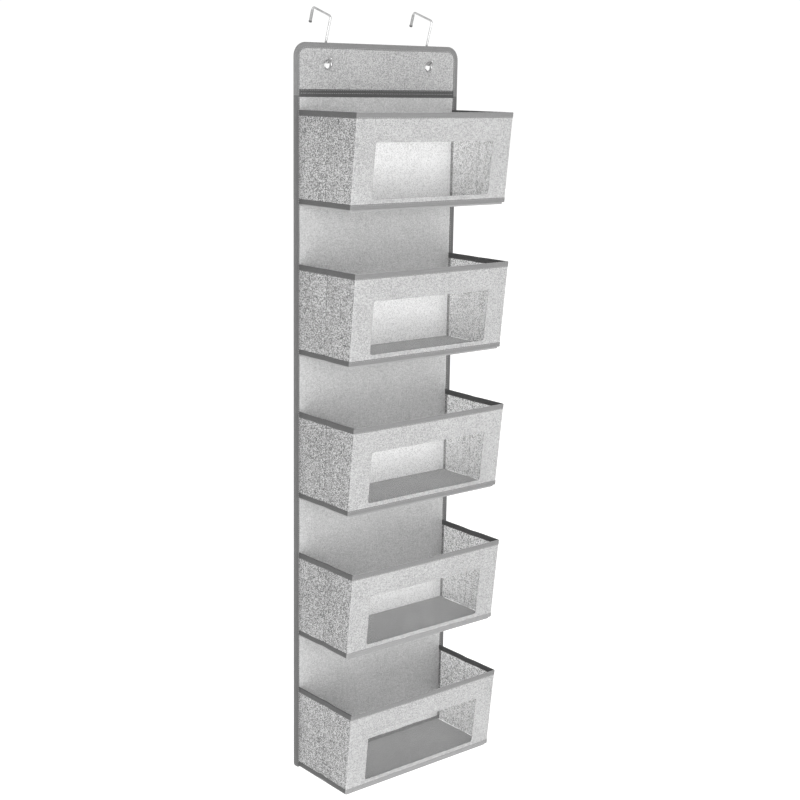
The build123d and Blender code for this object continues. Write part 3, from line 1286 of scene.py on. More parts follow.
# ------------------------------------------------------------------------------------------------
# pockets
# ------------------------------------------------------------------------------------------------
@dataclass(frozen=True)
class PocketShape:
    """Sizes that every pocket shares, in metres."""

    height: float = 150.0 * MM
    hinge_x: float = 159.6 * MM
    wall_mid: float = 1.2 * MM
    rear_hinge_y: float = -9.0 * MM
    wall_start_y: float = -9.3 * MM
    front_base_y: float = -137.6 * MM
    slope: float = 0.1
    crease_slope: float = 0.049876
    crease_drop: float = 1286.0 * MM
    cloth: float = 1.2 * MM
    tape: float = 2.3 * MM
    rim: float = 9.0 * MM
    hem: float = 8.0 * MM
    floor_gap: float = 3.4 * MM
    window_half: float = 122.0 * MM
    window_low: float = 18.5 * MM
    window_high: float = 105.0 * MM
    window_corner: float = 4.0 * MM
    sheet_half: float = 130.0 * MM
    sheet_margin: float = 8.0 * MM
    sheet_thick: float = 0.5 * MM
    turn_share: float = 0.97

    @property
    def stretch(self) -> float:
        """Distance up the sloping front for each unit of height.

        Returns:
            The ratio, a little over one.
        """
        return math.hypot(1.0, self.slope)

    @property
    def wrap(self) -> float:
        """Developed length of the turn at a front corner, which stops just short of a quarter.

        Returns:
            The length.
        """
        return self.turn_share * self.wall_mid * math.pi / 2


class FrontWall:
    """The front of one pocket, in developed coordinates: across, up the slope, and outward."""

    def __init__(self, shape: PocketShape, number: int, z_base: float) -> None:
        """Note where the wall is.

        Args:
            shape: Shared sizes.
            number: Pocket number from the top.
            z_base: Height of the base's underside.
        """
        self.shape, self.number, self.z_base = shape, number, z_base

    def place(self, a: np.ndarray, h: np.ndarray, d: np.ndarray) -> np.ndarray:
        """Points on the wall.

        Args:
            a: Developed distance across, from the middle.
            h: Distance up the slope.
            d: Distance outward from the wall's middle.

        Returns:
            Points in the row frame, with a last axis of three.
        """
        s = self.shape
        a, h, d = np.broadcast_arrays(np.asarray(a, float), np.asarray(h, float), np.asarray(d, float))
        level = np.clip(1.0 - (a / s.hinge_x) ** 2, 0.0, 1.0)
        rise = np.clip(h / s.height, 0.0, 1.0)
        swell = level * (0.35 * MM + 0.9 * MM * rise**2 + 0.35 * MM * ripple(a, h, self.number * 1.0))
        turn = np.clip(np.abs(a) - s.hinge_x, 0.0, None) / s.wall_mid
        far = s.wall_mid + d
        x = np.where(turn > 0, np.sign(a) * (s.hinge_x + far * np.sin(turn)), a)
        out = far * np.cos(turn) + swell
        cos, sin = 1.0 / s.stretch, s.slope / s.stretch
        y = s.front_base_y - sin * h - cos * out
        z = self.z_base + cos * h - sin * out
        return np.stack((x, y, z), axis=-1)

    def span(self) -> tuple[float, float]:
        """Lower and upper edge of the wall, up the slope.

        Returns:
            The two distances.
        """
        s = self.shape
        return s.floor_gap * s.stretch + 0.3 * MM, s.height * s.stretch

    def loop(self, half: float, low: float, high: float, radius: float) -> tuple[np.ndarray, np.ndarray]:
        """A rounded rectangle with a fixed number of points.

        Args:
            half: Half its width.
            low: Lower edge.
            high: Upper edge.
            radius: Corner radius.

        Returns:
            The points across and up.
        """
        across, up = [], []
        corners = ((1, high), (-1, high), (-1, low), (1, low))
        for number, (sx, edge) in enumerate(corners):
            sy = 1 if edge == high else -1
            cx, cy = sx * (half - radius), edge - sy * radius
            for turn in np.linspace(number, number + 1, 6) * math.pi / 2:
                across.append(cx + radius * math.cos(turn))
                up.append(cy + radius * math.sin(turn))
            nx, nedge = corners[(number + 1) % 4]
            nsy = 1 if nedge == high else -1
            ex, ey = nx * (half - radius), nedge - nsy * radius
            turn = (number + 1) * math.pi / 2
            start = (cx + radius * math.cos(turn), cy + radius * math.sin(turn))
            stop = (ex + radius * math.cos(turn), ey + radius * math.sin(turn))
            count = 28 if number % 2 == 0 else 12
            for f in np.linspace(0, 1, count + 1)[1:-1]:
                across.append(start[0] + (stop[0] - start[0]) * f)
                up.append(start[1] + (stop[1] - start[1]) * f)
        return np.array(across), np.array(up)

    def cloth(self, outer: Material, inner: Material) -> Piece:
        """The front cloth with its window opening, turned round both front corners.

        Args:
            outer: Finish of its outer face.
            inner: Finish of its inner face.

        Returns:
            The cloth.
        """
        s = self.shape
        low, high = self.span()
        hole = (s.window_half, s.window_low * s.stretch, s.window_high * s.stretch, s.window_corner)
        edge = (s.hinge_x, low, high, 1.5 * MM)
        loops = []
        for f in (0.0, 0.012, 0.03, 0.12, 0.3, 0.5, 0.7, 0.86, 1.0):
            loops.append(self.loop(*(p + (q - p) * f for p, q in zip(hole, edge))))
        across, up = loops[-1]
        side = np.clip((np.abs(across) - (s.hinge_x - 1.5 * MM)) / (1.5 * MM), 0, 1)
        for step in range(1, 7):
            reach = np.sign(across) * side * s.wrap * step / 6
            middle = (low + high) / 2
            loops.append((across + reach, middle + (up - middle) * (1 + 0.0004 * step)))
        a = np.array([p[0] for p in loops]).T
        h = np.array([p[1] for p in loops]).T
        thin = np.full(a.shape, s.cloth / 2)
        thin[:, 0] *= 0.6
        draft = MeshDraft()
        draft.slab(self.place(a, h, thin), self.place(a, h, -thin), wrapped=True, lined=True)
        piece = draft.build(f"pocket_{self.number}_front_cloth", outer, inner, crease=55.0)
        dress(piece, f"pocket_{self.number}_front", (f"pocket_{self.number}_front_panel",))
        return piece

    def tapes(self, rim: Material, hem: Material) -> Piece:
        """Rim and hem tape along the front.

        Args:
            rim: Finish of the rim tape.
            hem: Finish of the hem tape.

        Returns:
            The tapes, in one piece.
        """
        s = self.shape
        low, high = self.span()
        reach = s.hinge_x + s.wrap
        across = np.concatenate(
            (
                -s.hinge_x - np.linspace(s.wrap, 0, 7)[:-1],
                np.linspace(-s.hinge_x, s.hinge_x, 33),
                s.hinge_x + np.linspace(0, s.wrap, 7)[1:],
            )
        )
        draft = MeshDraft()
        for edge, height, sign in ((high, s.rim, -1), (low - 0.3 * MM, s.hem, 1)):
            ring, around = section(height, s.tape, 0.9 * MM)
            middle = edge + sign * height / 2
            rings = self.place(across[:, None], middle + ring[None, :, 0], ring[None, :, 1])
            draft.tube(rings, distances((across + reach)[:, None]), around, finish=int(sign > 0))
        piece = draft.build(f"pocket_{self.number}_front_tape", rim, hem)
        nodes = (f"pocket_{self.number}_front_binding",)
        return dress(piece, f"pocket_{self.number}_front", nodes)

    def window(self, material: Material) -> Piece:
        """The clear sheet behind the opening.

        Args:
            material: Its finish.

        Returns:
            The sheet.
        """
        s = self.shape
        across = np.linspace(-s.sheet_half, s.sheet_half, 27)
        low = (s.window_low - 3.4 * MM) * s.stretch
        high = (s.window_high + s.sheet_margin) * s.stretch
        up = np.linspace(low, high, 13)
        a, h = np.meshgrid(across, up, indexing="ij")
        middle = 0.35 * MM - s.wall_mid
        half = s.sheet_thick / 2
        draft = MeshDraft()
        draft.slab(self.place(a, h, middle + half), self.place(a, h, middle - half))
        piece = draft.build(f"pocket_{self.number}_clear_sheet", material)
        dress(piece, f"pocket_{self.number}_front", (f"pocket_{self.number}_window",))
        return piece

    def stitch_rows(self) -> list[np.ndarray]:
        """Rows along the rim, the hem and round the window.

        Returns:
            The rows.
        """
        s = self.shape
        low, high = self.span()
        across = np.linspace(-s.hinge_x + 1.5 * MM, s.hinge_x - 1.5 * MM, 70)
        top = self.place(across, high - s.rim + 1.6 * MM, s.tape / 2 + 0.06 * MM)
        hem = self.place(across, low - 0.3 * MM + s.hem - 1.6 * MM, s.tape / 2 + 0.06 * MM)
        out = 3.2 * MM
        a, h = self.loop(
            s.window_half + out,
            s.window_low * s.stretch - out,
            s.window_high * s.stretch + out,
            s.window_corner + out,
        )
        a, h = np.append(a, a[0]), np.append(h, h[0])
        return [top, hem, self.place(a, h, s.cloth / 2 + 0.02 * MM)]


class SideWall:
    """One gusset of a pocket, which folds inward on its crease."""

    REAR = (0.0, 0.01, 0.1, 0.22, 0.36, 0.5, 0.64, 0.78, 0.88)
    OUTER_STOP = 1.4 * MM
    INNER_STOP = 8.0 * MM
    CREASE_STOP = 3.0 * MM
    NEAR_CREASE = (5.0 * MM, 3.2 * MM, 2.0 * MM, 1.1 * MM, 0.45 * MM)

    def __init__(self, shape: PocketShape, number: int, side: Side, z_base: float) -> None:
        """Note where the wall is.

        Args:
            shape: Shared sizes.
            number: Pocket number from the top.
            side: Which side wall.
            z_base: Height of the base's underside.
        """
        self.shape, self.number, self.side, self.z_base = shape, number, side, z_base
        self.name = f"pocket_{number}_{side.word}"

    def crease_y(self, z: np.ndarray) -> np.ndarray:
        """Where the crease runs at a height.

        Args:
            z: Heights.

        Returns:
            Places along Y.
        """
        s = self.shape
        return s.rear_hinge_y - s.crease_slope * (z - (self.z_base - s.crease_drop))

    def front_y(self, z: np.ndarray) -> np.ndarray:
        """Where the front hinge line runs at a height.

        Args:
            z: Heights.

        Returns:
            Places along Y.
        """
        return self.shape.front_base_y - self.shape.slope * (z - self.z_base)

    def stations(self, z: np.ndarray) -> np.ndarray:
        """Places from rear to front at each height, close together about the crease.

        Args:
            z: Heights, shape (rows,).

        Returns:
            Places along Y, shape (stations, rows).
        """
        rear, crease, front = self.shape.wall_start_y, self.crease_y(z), self.front_y(z)
        rows = [rear + (crease + self.NEAR_CREASE[0] - rear) * f for f in self.REAR]
        rows += [crease + near for near in self.NEAR_CREASE]
        rows += [crease]
        rows += [crease - near for near in self.NEAR_CREASE[::-1]]
        rows += [front + (crease - self.NEAR_CREASE[0] - front) * f for f in self.REAR[::-1]]
        return np.array(rows)

    def place(self, y: np.ndarray, z: np.ndarray, d: np.ndarray) -> np.ndarray:
        """Points on the wall.

        Args:
            y: Places along Y.
            z: Heights.
            d: Distance outward from the wall's middle.

        Returns:
            Points in the row frame.
        """
        s = self.shape
        y, z, d = np.broadcast_arrays(y, z, d)
        crease, front = self.crease_y(z), self.front_y(z)
        share = np.clip((s.wall_start_y - y) / (s.wall_start_y - front), 0.0, 1.0)
        calm = np.sin(math.pi * share) ** 2
        pinch = 1.5 * MM * np.exp(-(((y - crease) / (13 * MM)) ** 2))
        seed = self.number * 2.0 + self.side.value
        sway = calm * 0.45 * MM * ripple(y, z, seed)
        x = self.side.value * (s.hinge_x + s.wall_mid + d - pinch + sway)
        return np.stack((x, y, z), axis=-1)

    def bend(self, piece: Piece, slot: str, nodes: Sequence[str]) -> Piece:
        """Bake a piece's placement into its mesh and hide the CAD nodes it replaces.

        Args:
            piece: The piece, unparented.
            slot: Not used.
            nodes: CAD nodes it replaces.

        Returns:
            The piece.
        """
        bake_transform(piece)
        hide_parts(*nodes)
        LOG.info("%s bends across %s's crease", piece.name, self.name)
        return piece

    def cloth(self, outer: Material, inner: Material) -> Piece:
        """The gusset cloth, one sheet from the back panel to the front corner.

        Args:
            outer: Finish of its outer face.
            inner: Finish of its inner face.

        Returns:
            The cloth.
        """
        s = self.shape
        low, high = self.z_base + s.floor_gap, self.z_base + s.height - 0.8 * MM
        z = np.linspace(low, high, 17)
        y = self.stations(z)
        half = s.cloth / 2
        draft = MeshDraft()
        draft.slab(self.place(y, z, half), self.place(y, z, -half), lined=True)
        piece = draft.build(self.name + "_gusset_cloth", outer, inner, crease=60.0)
        self.bend(piece, "gusset_cloth", (self.name + "_rear_gusset", self.name + "_front_gusset"))
        return piece

    def bands(self) -> list[tuple[float, float]]:
        """Middle height and width of the rim and hem tapes.

        Returns:
            The rim's pair, then the hem's.
        """
        s = self.shape
        rim = (self.z_base + s.height - s.rim / 2, s.rim)
        hem = (self.z_base + s.floor_gap + s.hem / 2 - 0.12 * MM, s.hem)
        return [rim, hem]

    def tapes(self, tape: Material, inner: Material) -> Piece:
        """Rim and hem tape along the gusset; the hem's inner face is the cloth's own.

        Args:
            tape: Their finish.
            inner: Finish of the hem's inner face.

        Returns:
            The tapes, in one piece.
        """
        s = self.shape
        draft = MeshDraft()
        for number, (middle, height) in enumerate(self.bands()):
            ring, around = section(height, s.tape, 0.2 * MM)
            z = middle + ring[:, 0]
            y = self.stations(z)
            inside = (ring[:, 1] < -0.4 * s.tape) & (np.roll(ring[:, 1], -1) < -0.4 * s.tape) & (number == 1)
            finish = inside.astype(int).tolist()
            draft.tube(self.place(y, z, ring[:, 1]), distances(y[:, :1]), around, finish=finish)
        piece = draft.build(self.name + "_gusset_tape", tape, inner)
        return self.bend(piece, "binding_tape", (self.name + "_rear_gusset", self.name + "_front_gusset"))

    def seam(self, cloth: Material, tape: Material) -> list[Piece]:
        """The sewn seam allowance between the gusset and the back panel.

        Args:
            cloth: Finish of the gusset.
            tape: Finish of the tapes.

        Returns:
            The seam's cloth and tape pieces.
        """
        s = self.shape
        y_back, y_front = -3.9 * MM, s.wall_start_y - 0.15 * MM
        stations = np.linspace(y_back, y_front, 12)
        pieces = []
        low, high = self.z_base + s.floor_gap, self.z_base + s.height - 0.8 * MM
        whole = ((low + high) / 2, high - low, s.cloth + 0.1 * MM, 0.4 * MM)
        runs = [("_rear_seam", cloth, "gusset_cloth", [whole])]
        bands = [(middle, height, s.tape + 0.1 * MM, 0.5 * MM) for middle, height in self.bands()]
        runs.append(("_rear_seam_tape", tape, "binding_tape", bands))
        for suffix, material, slot, items in runs:
            draft = MeshDraft()
            for middle, height, thick, radius in items:
                ring, around = section(height, thick, radius)
                rings = np.zeros((len(stations), len(ring), 3))
                rings[:, :, 0] = self.side.value * (s.hinge_x + s.wall_mid + ring[None, :, 1])
                rings[:, :, 1] = stations[:, None]
                rings[:, :, 2] = middle + ring[None, :, 0]
                draft.tube(rings, distances(stations[:, None]), around)
            piece = draft.build(self.name + suffix, material)
            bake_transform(piece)
            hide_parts("pocket_flanges")
            pieces.append(piece)
        return pieces

    def stitches(self, stitcher: RunningStitch, palette: Palette) -> list[Piece]:
        """Rows on both halves of the gusset, and the sewn crease.

        Args:
            stitcher: Sews the stitches.
            palette: Finishes.

        Returns:
            The stitches on the rear and the front half.
        """
        s = self.shape
        rear_rows, front_rows = [], []
        for number, (middle, height) in enumerate(self.bands()):
            z = middle + (height / 2 - 1.6 * MM) * (-1 if number == 0 else 1)
            crease, front = float(self.crease_y(z)), float(self.front_y(z))
            for face, end in ((1, self.OUTER_STOP), (-1, self.INNER_STOP)):
                offset = face * (s.tape / 2 - 0.05 * MM)
                rear = np.linspace(s.wall_start_y - end + self.OUTER_STOP, crease + self.CREASE_STOP, 24)
                fore = np.linspace(crease - self.CREASE_STOP, front + end, 24)
                rear_rows.append(self.place(rear, np.full(24, z), offset))
                front_rows.append(self.place(fore, np.full(24, z), offset))
        lowest = self.z_base + s.floor_gap + s.hem + 1 * MM
        z = np.linspace(lowest, self.z_base + s.height - s.rim - 1 * MM, 30)
        crease_rows = []
        for face in (1, -1):
            offset = face * (s.cloth / 2 + 0.02 * MM)
            crease_rows.append(self.place(self.crease_y(z) + 1.5 * MM, z, offset))
        name, thread = self.name, palette.thread_dark
        rear, fore = name + "_rear_gusset", name + "_front_gusset"
        return [
            stitcher.sew(name + "_crease_stitches", crease_rows, thread, rear, radius=0.62 * MM),
            stitcher.sew(name + "_rear_stitches", rear_rows, thread, rear),
            stitcher.sew(name + "_front_stitches", front_rows, thread, fore),
        ]


@dataclass(frozen=True)
class BoxPocket:
    """One fold-flat pocket: front wall, two gussets, a stiff base and its light inner lining."""

    number: int
    z_base: float
    lining_height: float
    shape: PocketShape
    layers: PanelLayers
    light_hem: bool = False

    def base(self, material: Material) -> Piece:
        """The cloth-covered base board.

        Args:
            material: Its finish.

        Returns:
            The base.
        """
        half, rear, front, thick = 159.35 * MM, -5.1 * MM, -137.2 * MM, 3.0 * MM
        fine = (0.25 * MM, 0.7 * MM, 1.4 * MM, 2.4 * MM, 4 * MM)
        x, y = np.meshgrid(eased(-half, half, 21, fine), eased(front, rear, 11, fine), indexing="ij")
        edge = np.minimum(half - np.abs(x), np.minimum(rear - y, y - front))
        round_off = 0.25 * MM
        share = np.clip(edge / round_off, 0.0, 1.0)
        profile = thick / 2 - round_off * (1 - np.sqrt(1 - (1 - share) ** 2))
        soft = 0.12 * MM * ripple(x, y, self.number * 1.3) * np.clip(edge / (6 * MM), 0, 1)
        radius = 3.0 * MM
        dx, dy = np.abs(x) - (half - radius), (front + radius) - y
        corner = (dx > 0) & (dy > 0)
        far = np.hypot(dx, dy)
        pull = np.where(corner, np.maximum(dx, dy) / np.where(far > 0, far, 1.0), 1.0)
        x = np.where(corner, np.sign(x) * (half - radius + dx * pull), x)
        y = np.where(corner, front + radius - dy * pull, y)
        middle = self.z_base + thick / 2
        draft = MeshDraft()
        above = np.stack((x, y, middle + profile - np.abs(soft)), -1)
        draft.slab(above, np.stack((x, y, middle - profile), -1))
        piece = draft.build(f"pocket_{self.number}_base_cover", material)
        body = f"pocket_{self.number}_base"
        return dress(piece, body, (f"pocket_{self.number}_base_panel",))

    def lining(self, material: Material) -> Piece:
        """The light lining on the back panel, inside the pocket.

        Args:
            material: Its finish.

        Returns:
            The lining.
        """
        low = self.z_base + 3.3 * MM
        high = self.z_base + self.lining_height
        half = 158.6 * MM
        fine = (0.5 * MM, 2 * MM)
        x, z = np.meshgrid(eased(-half, half, 25, fine), eased(low, high, 9, fine), indexing="ij")
        lift = self.layers.wave(x, z)
        front = self.layers.cloth_front - 0.45 * MM - lift
        draft = MeshDraft()
        draft.slab(np.stack((x, front, z), -1), np.stack((x, front + 0.6 * MM, z), -1))
        piece = draft.build(f"pocket_{self.number}_back_lining", material)
        dress(piece, "main_panel")
        return piece

    def build(self, palette: Palette, stitcher: RunningStitch) -> list[Piece]:
        """Build the pocket's pieces.

        Args:
            palette: Finishes.
            stitcher: Sews the stitches.

        Returns:
            The pieces.
        """
        wall = FrontWall(self.shape, self.number, self.z_base)
        pieces = [self.base(palette.base), self.lining(palette.inner)]
        # Pockets marked for it take the light tape on the hem: painted light, a lighter copy of the hem tape
        # the upper pockets carry.
        hem = TapeTone.LIGHT if self.light_hem else TapeTone.MIDDLE
        pieces.append(wall.tapes(palette.tapes[TapeTone.MIDDLE], palette.tapes[hem]))
        # The front wall's inner face takes the lit copy of the gusset cloth: painted light.
        pieces.append(wall.cloth(palette.front, palette.gusset_inner))
        pieces.append(wall.window(palette.clear))
        body = f"pocket_{self.number}_front"
        pieces.append(stitcher.sew(body + "_stitches", wall.stitch_rows(), palette.thread_light, body))
        for side in Side:
            gusset = SideWall(self.shape, self.number, side, self.z_base)
            # The gusset tapes and seam tapes take the deep tape: painted shade on the side walls, whose
            # binding is the same tape as the front rim's.
            dark = palette.tapes[TapeTone.DEEP]
            # The inner faces of the gusset and of its hem take the lit copy of the gusset cloth: painted
            # light.
            pieces.append(gusset.tapes(dark, palette.gusset_inner))
            pieces.append(gusset.cloth(palette.gusset, palette.gusset_inner))
            pieces.extend(gusset.seam(palette.gusset, dark))
            pieces.extend(gusset.stitches(stitcher, palette))
        LOG.info("pocket %d: %d pieces", self.number, len(pieces))
        return pieces


# ------------------------------------------------------------------------------------------------
# eyelets and hooks
# ------------------------------------------------------------------------------------------------
@dataclass(frozen=True)
class Eyelet:
    """A two-part eyelet pressed through the header."""

    side: Side
    x: float = HeaderSection.EYELET_X
    z: float = HeaderSection.EYELET_Z
    profile: tuple[Pair, ...] = (
        (8.2, -3.9), (8.2, -4.15), (8.05, -4.42), (7.7, -4.68), (7.2, -4.8), (6.7, -4.74), (6.3, -4.5),
        (6.06, -4.1), (6.0, -3.6), (6.0, -1.2), (6.0, 0.0), (6.06, 0.35), (6.3, 0.7), (6.7, 0.9), (7.2, 0.96),
        (7.7, 0.85), (8.05, 0.62), (8.2, 0.3), (8.2, 0.05), (7.3, 0.05), (6.65, 0.0), (6.65, -3.85),
        (7.3, -3.9),
    )

    def build(self, material: Material) -> Piece:
        """Turn the eyelet.

        Args:
            material: Its finish.

        Returns:
            The eyelet.
        """
        shape = np.array(self.profile) * MM
        turns = np.linspace(0, 2 * math.pi, 57)[:-1]
        rings = np.zeros((len(turns), len(shape), 3))
        rings[:, :, 0] = self.side.value * self.x + np.cos(turns)[:, None] * shape[None, :, 0]
        rings[:, :, 1] = shape[None, :, 1]
        rings[:, :, 2] = self.z + np.sin(turns)[:, None] * shape[None, :, 0]
        gaps = np.linalg.norm(np.roll(shape, -1, axis=0) - shape, axis=1)
        along = np.linspace(0, 2 * math.pi * 7 * MM, len(turns) + 1)
        draft = MeshDraft()
        draft.tube(rings, along, [0.0, *np.cumsum(gaps)], closed=True)
        name = f"{self.side.word}_eyelet"
        return dress(draft.build(name + "_ring", material, crease=50.0), "header", (name,))


@dataclass(frozen=True)
class WireHook:
    """A bent wire hook that reaches over a door's top edge."""

    side: Side
    x: float = HeaderSection.EYELET_X
    axis: Pair = (-1.9 * MM, 635.5 * MM)
    wire: float = 1.85 * MM
    arc: float = 10.5 * MM
    arc_end: float = 62.0
    tip: float = 6.5 * MM
    rise: float = 60.0 * MM
    bridge: float = 50.0 * MM
    drop: float = 25.0 * MM
    bend: float = 4.5 * MM
    cap: float = 6.0 * MM
    lean: float = 18.2

    def centreline(self) -> np.ndarray:
        """The wire's centreline upright about its swing axis, as (y, z) rows.

        Returns:
            The points, from the tip to the end of the drop leg.
        """
        a = math.radians(self.arc_end)
        end = np.array((-math.sin(a), -math.cos(a))) * self.arc
        way = np.array((-math.cos(a), math.sin(a)))
        points = [end + way * self.tip * f for f in (1.0, 0.5)]
        for turn in np.linspace(-math.pi / 2 - a, 0.0, 22):
            points.append(np.array((math.cos(turn), math.sin(turn))) * self.arc)
        b, r = self.bend, self.arc
        far = r + self.bridge
        points += [np.array((r, self.rise * f)) for f in (0.25, 0.5, 0.75)]
        for turn in np.linspace(math.pi, math.pi / 2, 8):
            points.append(np.array((r + b + b * math.cos(turn), self.rise - b + b * math.sin(turn))))
        points += [np.array((r + b + (self.bridge - 2 * b) * f, self.rise)) for f in (0.33, 0.66)]
        for turn in np.linspace(math.pi / 2, 0.0, 8):
            points.append(np.array((far - b + b * math.cos(turn), self.rise - b + b * math.sin(turn))))
        points += [np.array((far, self.rise - b - (self.drop - b) * f)) for f in (0.3, 0.6, 1.0)]
        return np.array(points)

    def swept(self, path: np.ndarray, radii: np.ndarray) -> np.ndarray:
        """Round rings along a line in the hook's plane, leaned forward as it hangs.

        Args:
            path: Upright (y, z) points.
            radii: Radius at each.

        Returns:
            The rings.
        """
        tangents = np.gradient(path, axis=0)
        tangents /= np.linalg.norm(tangents, axis=1)[:, None]
        normals = np.column_stack((-tangents[:, 1], tangents[:, 0]))
        turns = np.linspace(0, 2 * math.pi, 19)[:-1]
        lean = math.radians(self.lean)
        rings = np.zeros((len(path), len(turns), 3))
        y = path[:, 0, None] + normals[:, 0, None] * np.sin(turns) * radii[:, None]
        z = path[:, 1, None] + normals[:, 1, None] * np.sin(turns) * radii[:, None]
        rings[:, :, 0] = self.side.value * self.x + np.cos(turns) * radii[:, None]
        rings[:, :, 1] = self.axis[0] + y * math.cos(lean) - z * math.sin(lean)
        rings[:, :, 2] = self.axis[1] + y * math.sin(lean) + z * math.cos(lean)
        return rings

    def build(self, palette: Palette) -> list[Piece]:
        """Bend the wire and dip its end.

        Args:
            palette: Finishes.

        Returns:
            The wire, the dipped sleeve and the end cap.
        """
        body = f"{self.side.word}_hook"
        path = self.centreline()
        way = (path[0] - path[1]) / np.linalg.norm(path[0] - path[1])
        round_tip = [path[0] - way * self.wire * (1 - share) for share in (1.0, 0.8, 0.45, 0.15)]
        line = np.vstack((round_tip, path[1:]))
        radii = np.full(len(line), self.wire)
        radii[:4] = self.wire * np.array((0.12, 0.6, 0.88, 0.99))
        wire = self.piece("_wire", line, radii, palette.wire)
        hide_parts(body)
        low, high = self.rise - self.drop, self.rise - self.bend
        stops = np.array((0.8, 1.2, 2.4, 6.0, 12.0, 16.0)) * MM + low
        stops = np.append(stops, np.array((high - 0.6 * MM, high - 0.1 * MM, high)))
        sizes = self.wire + np.array((0.2, 0.45, 0.5, 0.48, 0.5, 0.46, 0.42, 0.3, 0.02)) * MM
        sleeve = self.piece("_sleeve", self.leg(stops), sizes, palette.sleeve)
        stops = np.array((-0.3, -0.2, 0.1, 0.7, 1.6, 2.6, 3.0, 3.2)) * MM + low
        sizes = np.array((0.3, 1.4, 2.2, 2.6, 2.72, 2.7, 2.55, 2.2)) * MM
        cap = self.piece("_cap", self.leg(stops), sizes, palette.cap)
        return [wire, sleeve, cap]

    def leg(self, heights: np.ndarray) -> np.ndarray:
        """Points down the drop leg.

        Args:
            heights: Upright heights about the swing axis.

        Returns:
            The (y, z) points.
        """
        return np.column_stack((np.full(len(heights), self.arc + self.bridge), heights))

    def piece(self, suffix: str, line: np.ndarray, radii: np.ndarray, material: Material) -> Piece:
        """One round piece of the hook.

        Args:
            suffix: End of its name.
            line: Its upright (y, z) centreline.
            radii: Radius at each point.
            material: Its finish.

        Returns:
            The piece, riding on the hook.
        """
        body = f"{self.side.word}_hook"
        around = np.linspace(0, 2 * math.pi * self.wire, 19)
        draft = MeshDraft()
        draft.tube(self.swept(line, radii), distances(line), around)
        return dress(draft.build(body + suffix, material, crease=55.0), body)


# ------------------------------------------------------------------------------------------------
# studio
# ------------------------------------------------------------------------------------------------
@dataclass(frozen=True)
class Softbox:
    """One soft area light."""

    name: str
    place: Point
    target: Point
    size: Pair
    power: float

    def build(self) -> Piece:
        """Hang the light.

        Returns:
            The light.
        """
        data = bpy.data.lights.new(self.name, "AREA")
        data.shape = "RECTANGLE"
        data.size, data.size_y = self.size
        data.energy = self.power
        light = bpy.data.objects.new(self.name, data)
        light.location = self.place
        aim = Vector(self.target) - Vector(self.place)
        light.rotation_euler = aim.to_track_quat("-Z", "Y").to_euler()
        bpy.context.scene.collection.objects.link(light)
        return light


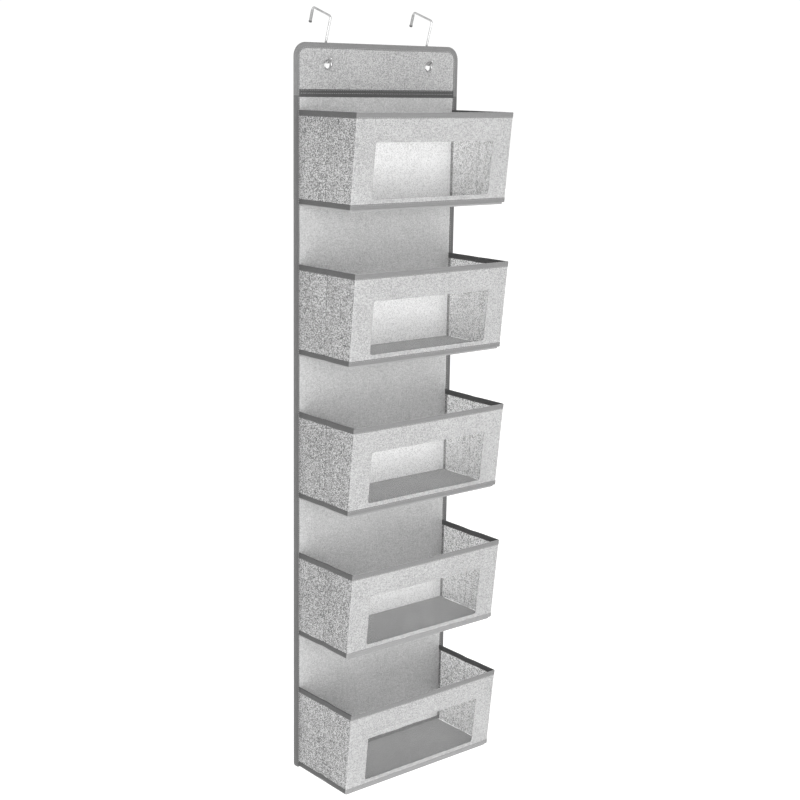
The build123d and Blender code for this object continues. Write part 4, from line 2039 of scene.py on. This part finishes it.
@dataclass(frozen=True)
class Studio:
    """White studio with a soft, even light and the view from the front left and above."""

    eye: Point = (-1.5345, -1.9230, 0.6000)
    yaw: float = 39.654
    pitch: float = -13.390
    roll: float = 0.972
    lens: float = 65.736
    shift_up: float = 0.03476
    floor_z: float = -0.95
    floor_half: float = 14.0
    ambience: float = 0.82
    floor_glow: float = 0.4
    lights: tuple[Softbox, ...] = (
        Softbox("key", (-1.2, -4.2, 0.15), (0, 0, 0), (2.6, 2.6), 124.0),
        Softbox("side", (-4.0, -1.2, 0.9), (0, 0, 0), (2.4, 2.6), 66.0),
    )

    def camera(self) -> Piece:
        """Stand the camera.

        Returns:
            The camera.
        """
        yaw, pitch, roll = (math.radians(v) for v in (self.yaw, self.pitch, self.roll))
        ahead = Vector((math.sin(yaw) * math.cos(pitch), math.cos(yaw) * math.cos(pitch), math.sin(pitch)))
        right = Vector((math.cos(yaw), -math.sin(yaw), 0.0))
        up = right.cross(ahead)
        turned_right = right * math.cos(roll) + up * math.sin(roll)
        turned_up = up * math.cos(roll) - right * math.sin(roll)
        data = bpy.data.cameras.new("camera")
        data.sensor_width = 36.0
        data.lens = self.lens
        data.shift_y = self.shift_up
        data.clip_end = 60.0
        camera = bpy.data.objects.new("camera", data)
        turn = Matrix((turned_right, turned_up, -ahead)).transposed()
        camera.matrix_world = Matrix.Translation(self.eye) @ turn.to_4x4()
        bpy.context.scene.collection.objects.link(camera)
        bpy.context.scene.camera = camera
        return camera

    def floor(self) -> Piece:
        """Lay the pale floor.

        Returns:
            The floor.
        """
        shader = Shader("studio_floor")
        cloud = shader.noise(shader.mapped("Object", (1.0, 1.0, 1.0)), 3.0, 2.0, 0.5)
        shader.colour(shader.ramp(cloud, ((0.3, grey(0.93)), (0.7, grey(0.95)))))
        shader.set(roughness=0.9, specular_ior_level=0.1)
        shader.set(emission_color=(1.0, 1.0, 1.0, 1.0), emission_strength=self.floor_glow)
        mesh = bpy.data.meshes.new("studio_floor")
        h, z = self.floor_half, self.floor_z
        mesh.from_pydata([(-h, -h, z), (h, -h, z), (h, h, z), (-h, h, z)], [], [(0, 1, 2, 3)])
        mesh.materials.append(shader.material)
        floor = bpy.data.objects.new("studio_floor", mesh)
        bpy.context.scene.collection.objects.link(floor)
        return floor

    def build(self) -> None:
        """Set up floor, air, lights and camera."""
        scene = bpy.context.scene
        scene.view_settings.view_transform = "Standard"
        world = bpy.data.worlds.new("studio_air")
        world.use_nodes = True
        tree = world.node_tree
        air = tree.nodes["Background"]
        air.inputs["Color"].default_value = (1.0, 1.0, 1.0, 1.0)
        rays = tree.nodes.new("ShaderNodeLightPath")
        level = tree.nodes.new("ShaderNodeMapRange")
        level.inputs["To Min"].default_value = self.ambience
        level.inputs["To Max"].default_value = 1.05
        tree.links.new(rays.outputs["Is Camera Ray"], level.inputs["Value"])
        tree.links.new(level.outputs["Result"], air.inputs["Strength"])
        scene.world = world
        self.floor()
        self.camera()
        for light in self.lights:
            light.build()


# ------------------------------------------------------------------------------------------------
# the organizer
# ------------------------------------------------------------------------------------------------
class Organizer:
    """The whole organizer, built section by section."""

    FIRST_BASE = 401.7 * MM
    PITCH = 244.0 * MM
    LINING_HEIGHTS = (100.0 * MM, 100.0 * MM, 100.0 * MM, 80.0 * MM, 58.0 * MM)

    def __init__(self) -> None:
        """Make the finishes and the shared shapes."""
        self.palette = Palette()
        self.stitcher = RunningStitch()
        self.layers = PanelLayers()
        self.shape = PocketShape()

    def boards(self) -> None:
        """Give the stiffening boards, kept from the CAD model, their finish."""
        for name in ("header_board", "back_boards"):
            node = bpy.data.objects[name]
            node.data.materials.clear()
            node.data.materials.append(self.palette.board)

    def build(self) -> None:
        """Build every sub-assembly and report its pieces."""
        self.boards()
        groups: dict[str, list[Piece]] = {
            "header": HeaderSection(self.layers).build(self.palette, self.stitcher),
            "main panel": MainPanel(self.layers).build(self.palette, self.stitcher),
        }
        for index, height in enumerate(self.LINING_HEIGHTS):
            z_base = self.FIRST_BASE - index * self.PITCH
            # The two lowest pockets take the painted light hem.
            pocket = BoxPocket(index + 1, z_base, height, self.shape, self.layers, index >= 3)
            groups[f"pocket {index + 1}"] = pocket.build(self.palette, self.stitcher)
        for side in Side:
            groups[f"{side.word} eyelet"] = [Eyelet(side).build(self.palette.nickel)]
            groups[f"{side.word} hook"] = WireHook(side).build(self.palette)
        for name, pieces in groups.items():
            faces = sum(len(piece.data.polygons) for piece in pieces)
            LOG.info("%s: %d pieces, %d faces", name, len(pieces), faces)


def main() -> None:
    logging.basicConfig(level=logging.INFO, format="%(levelname)s %(message)s")
    Organizer().build()
    Studio().build()


if __name__ == "__main__":
    main()
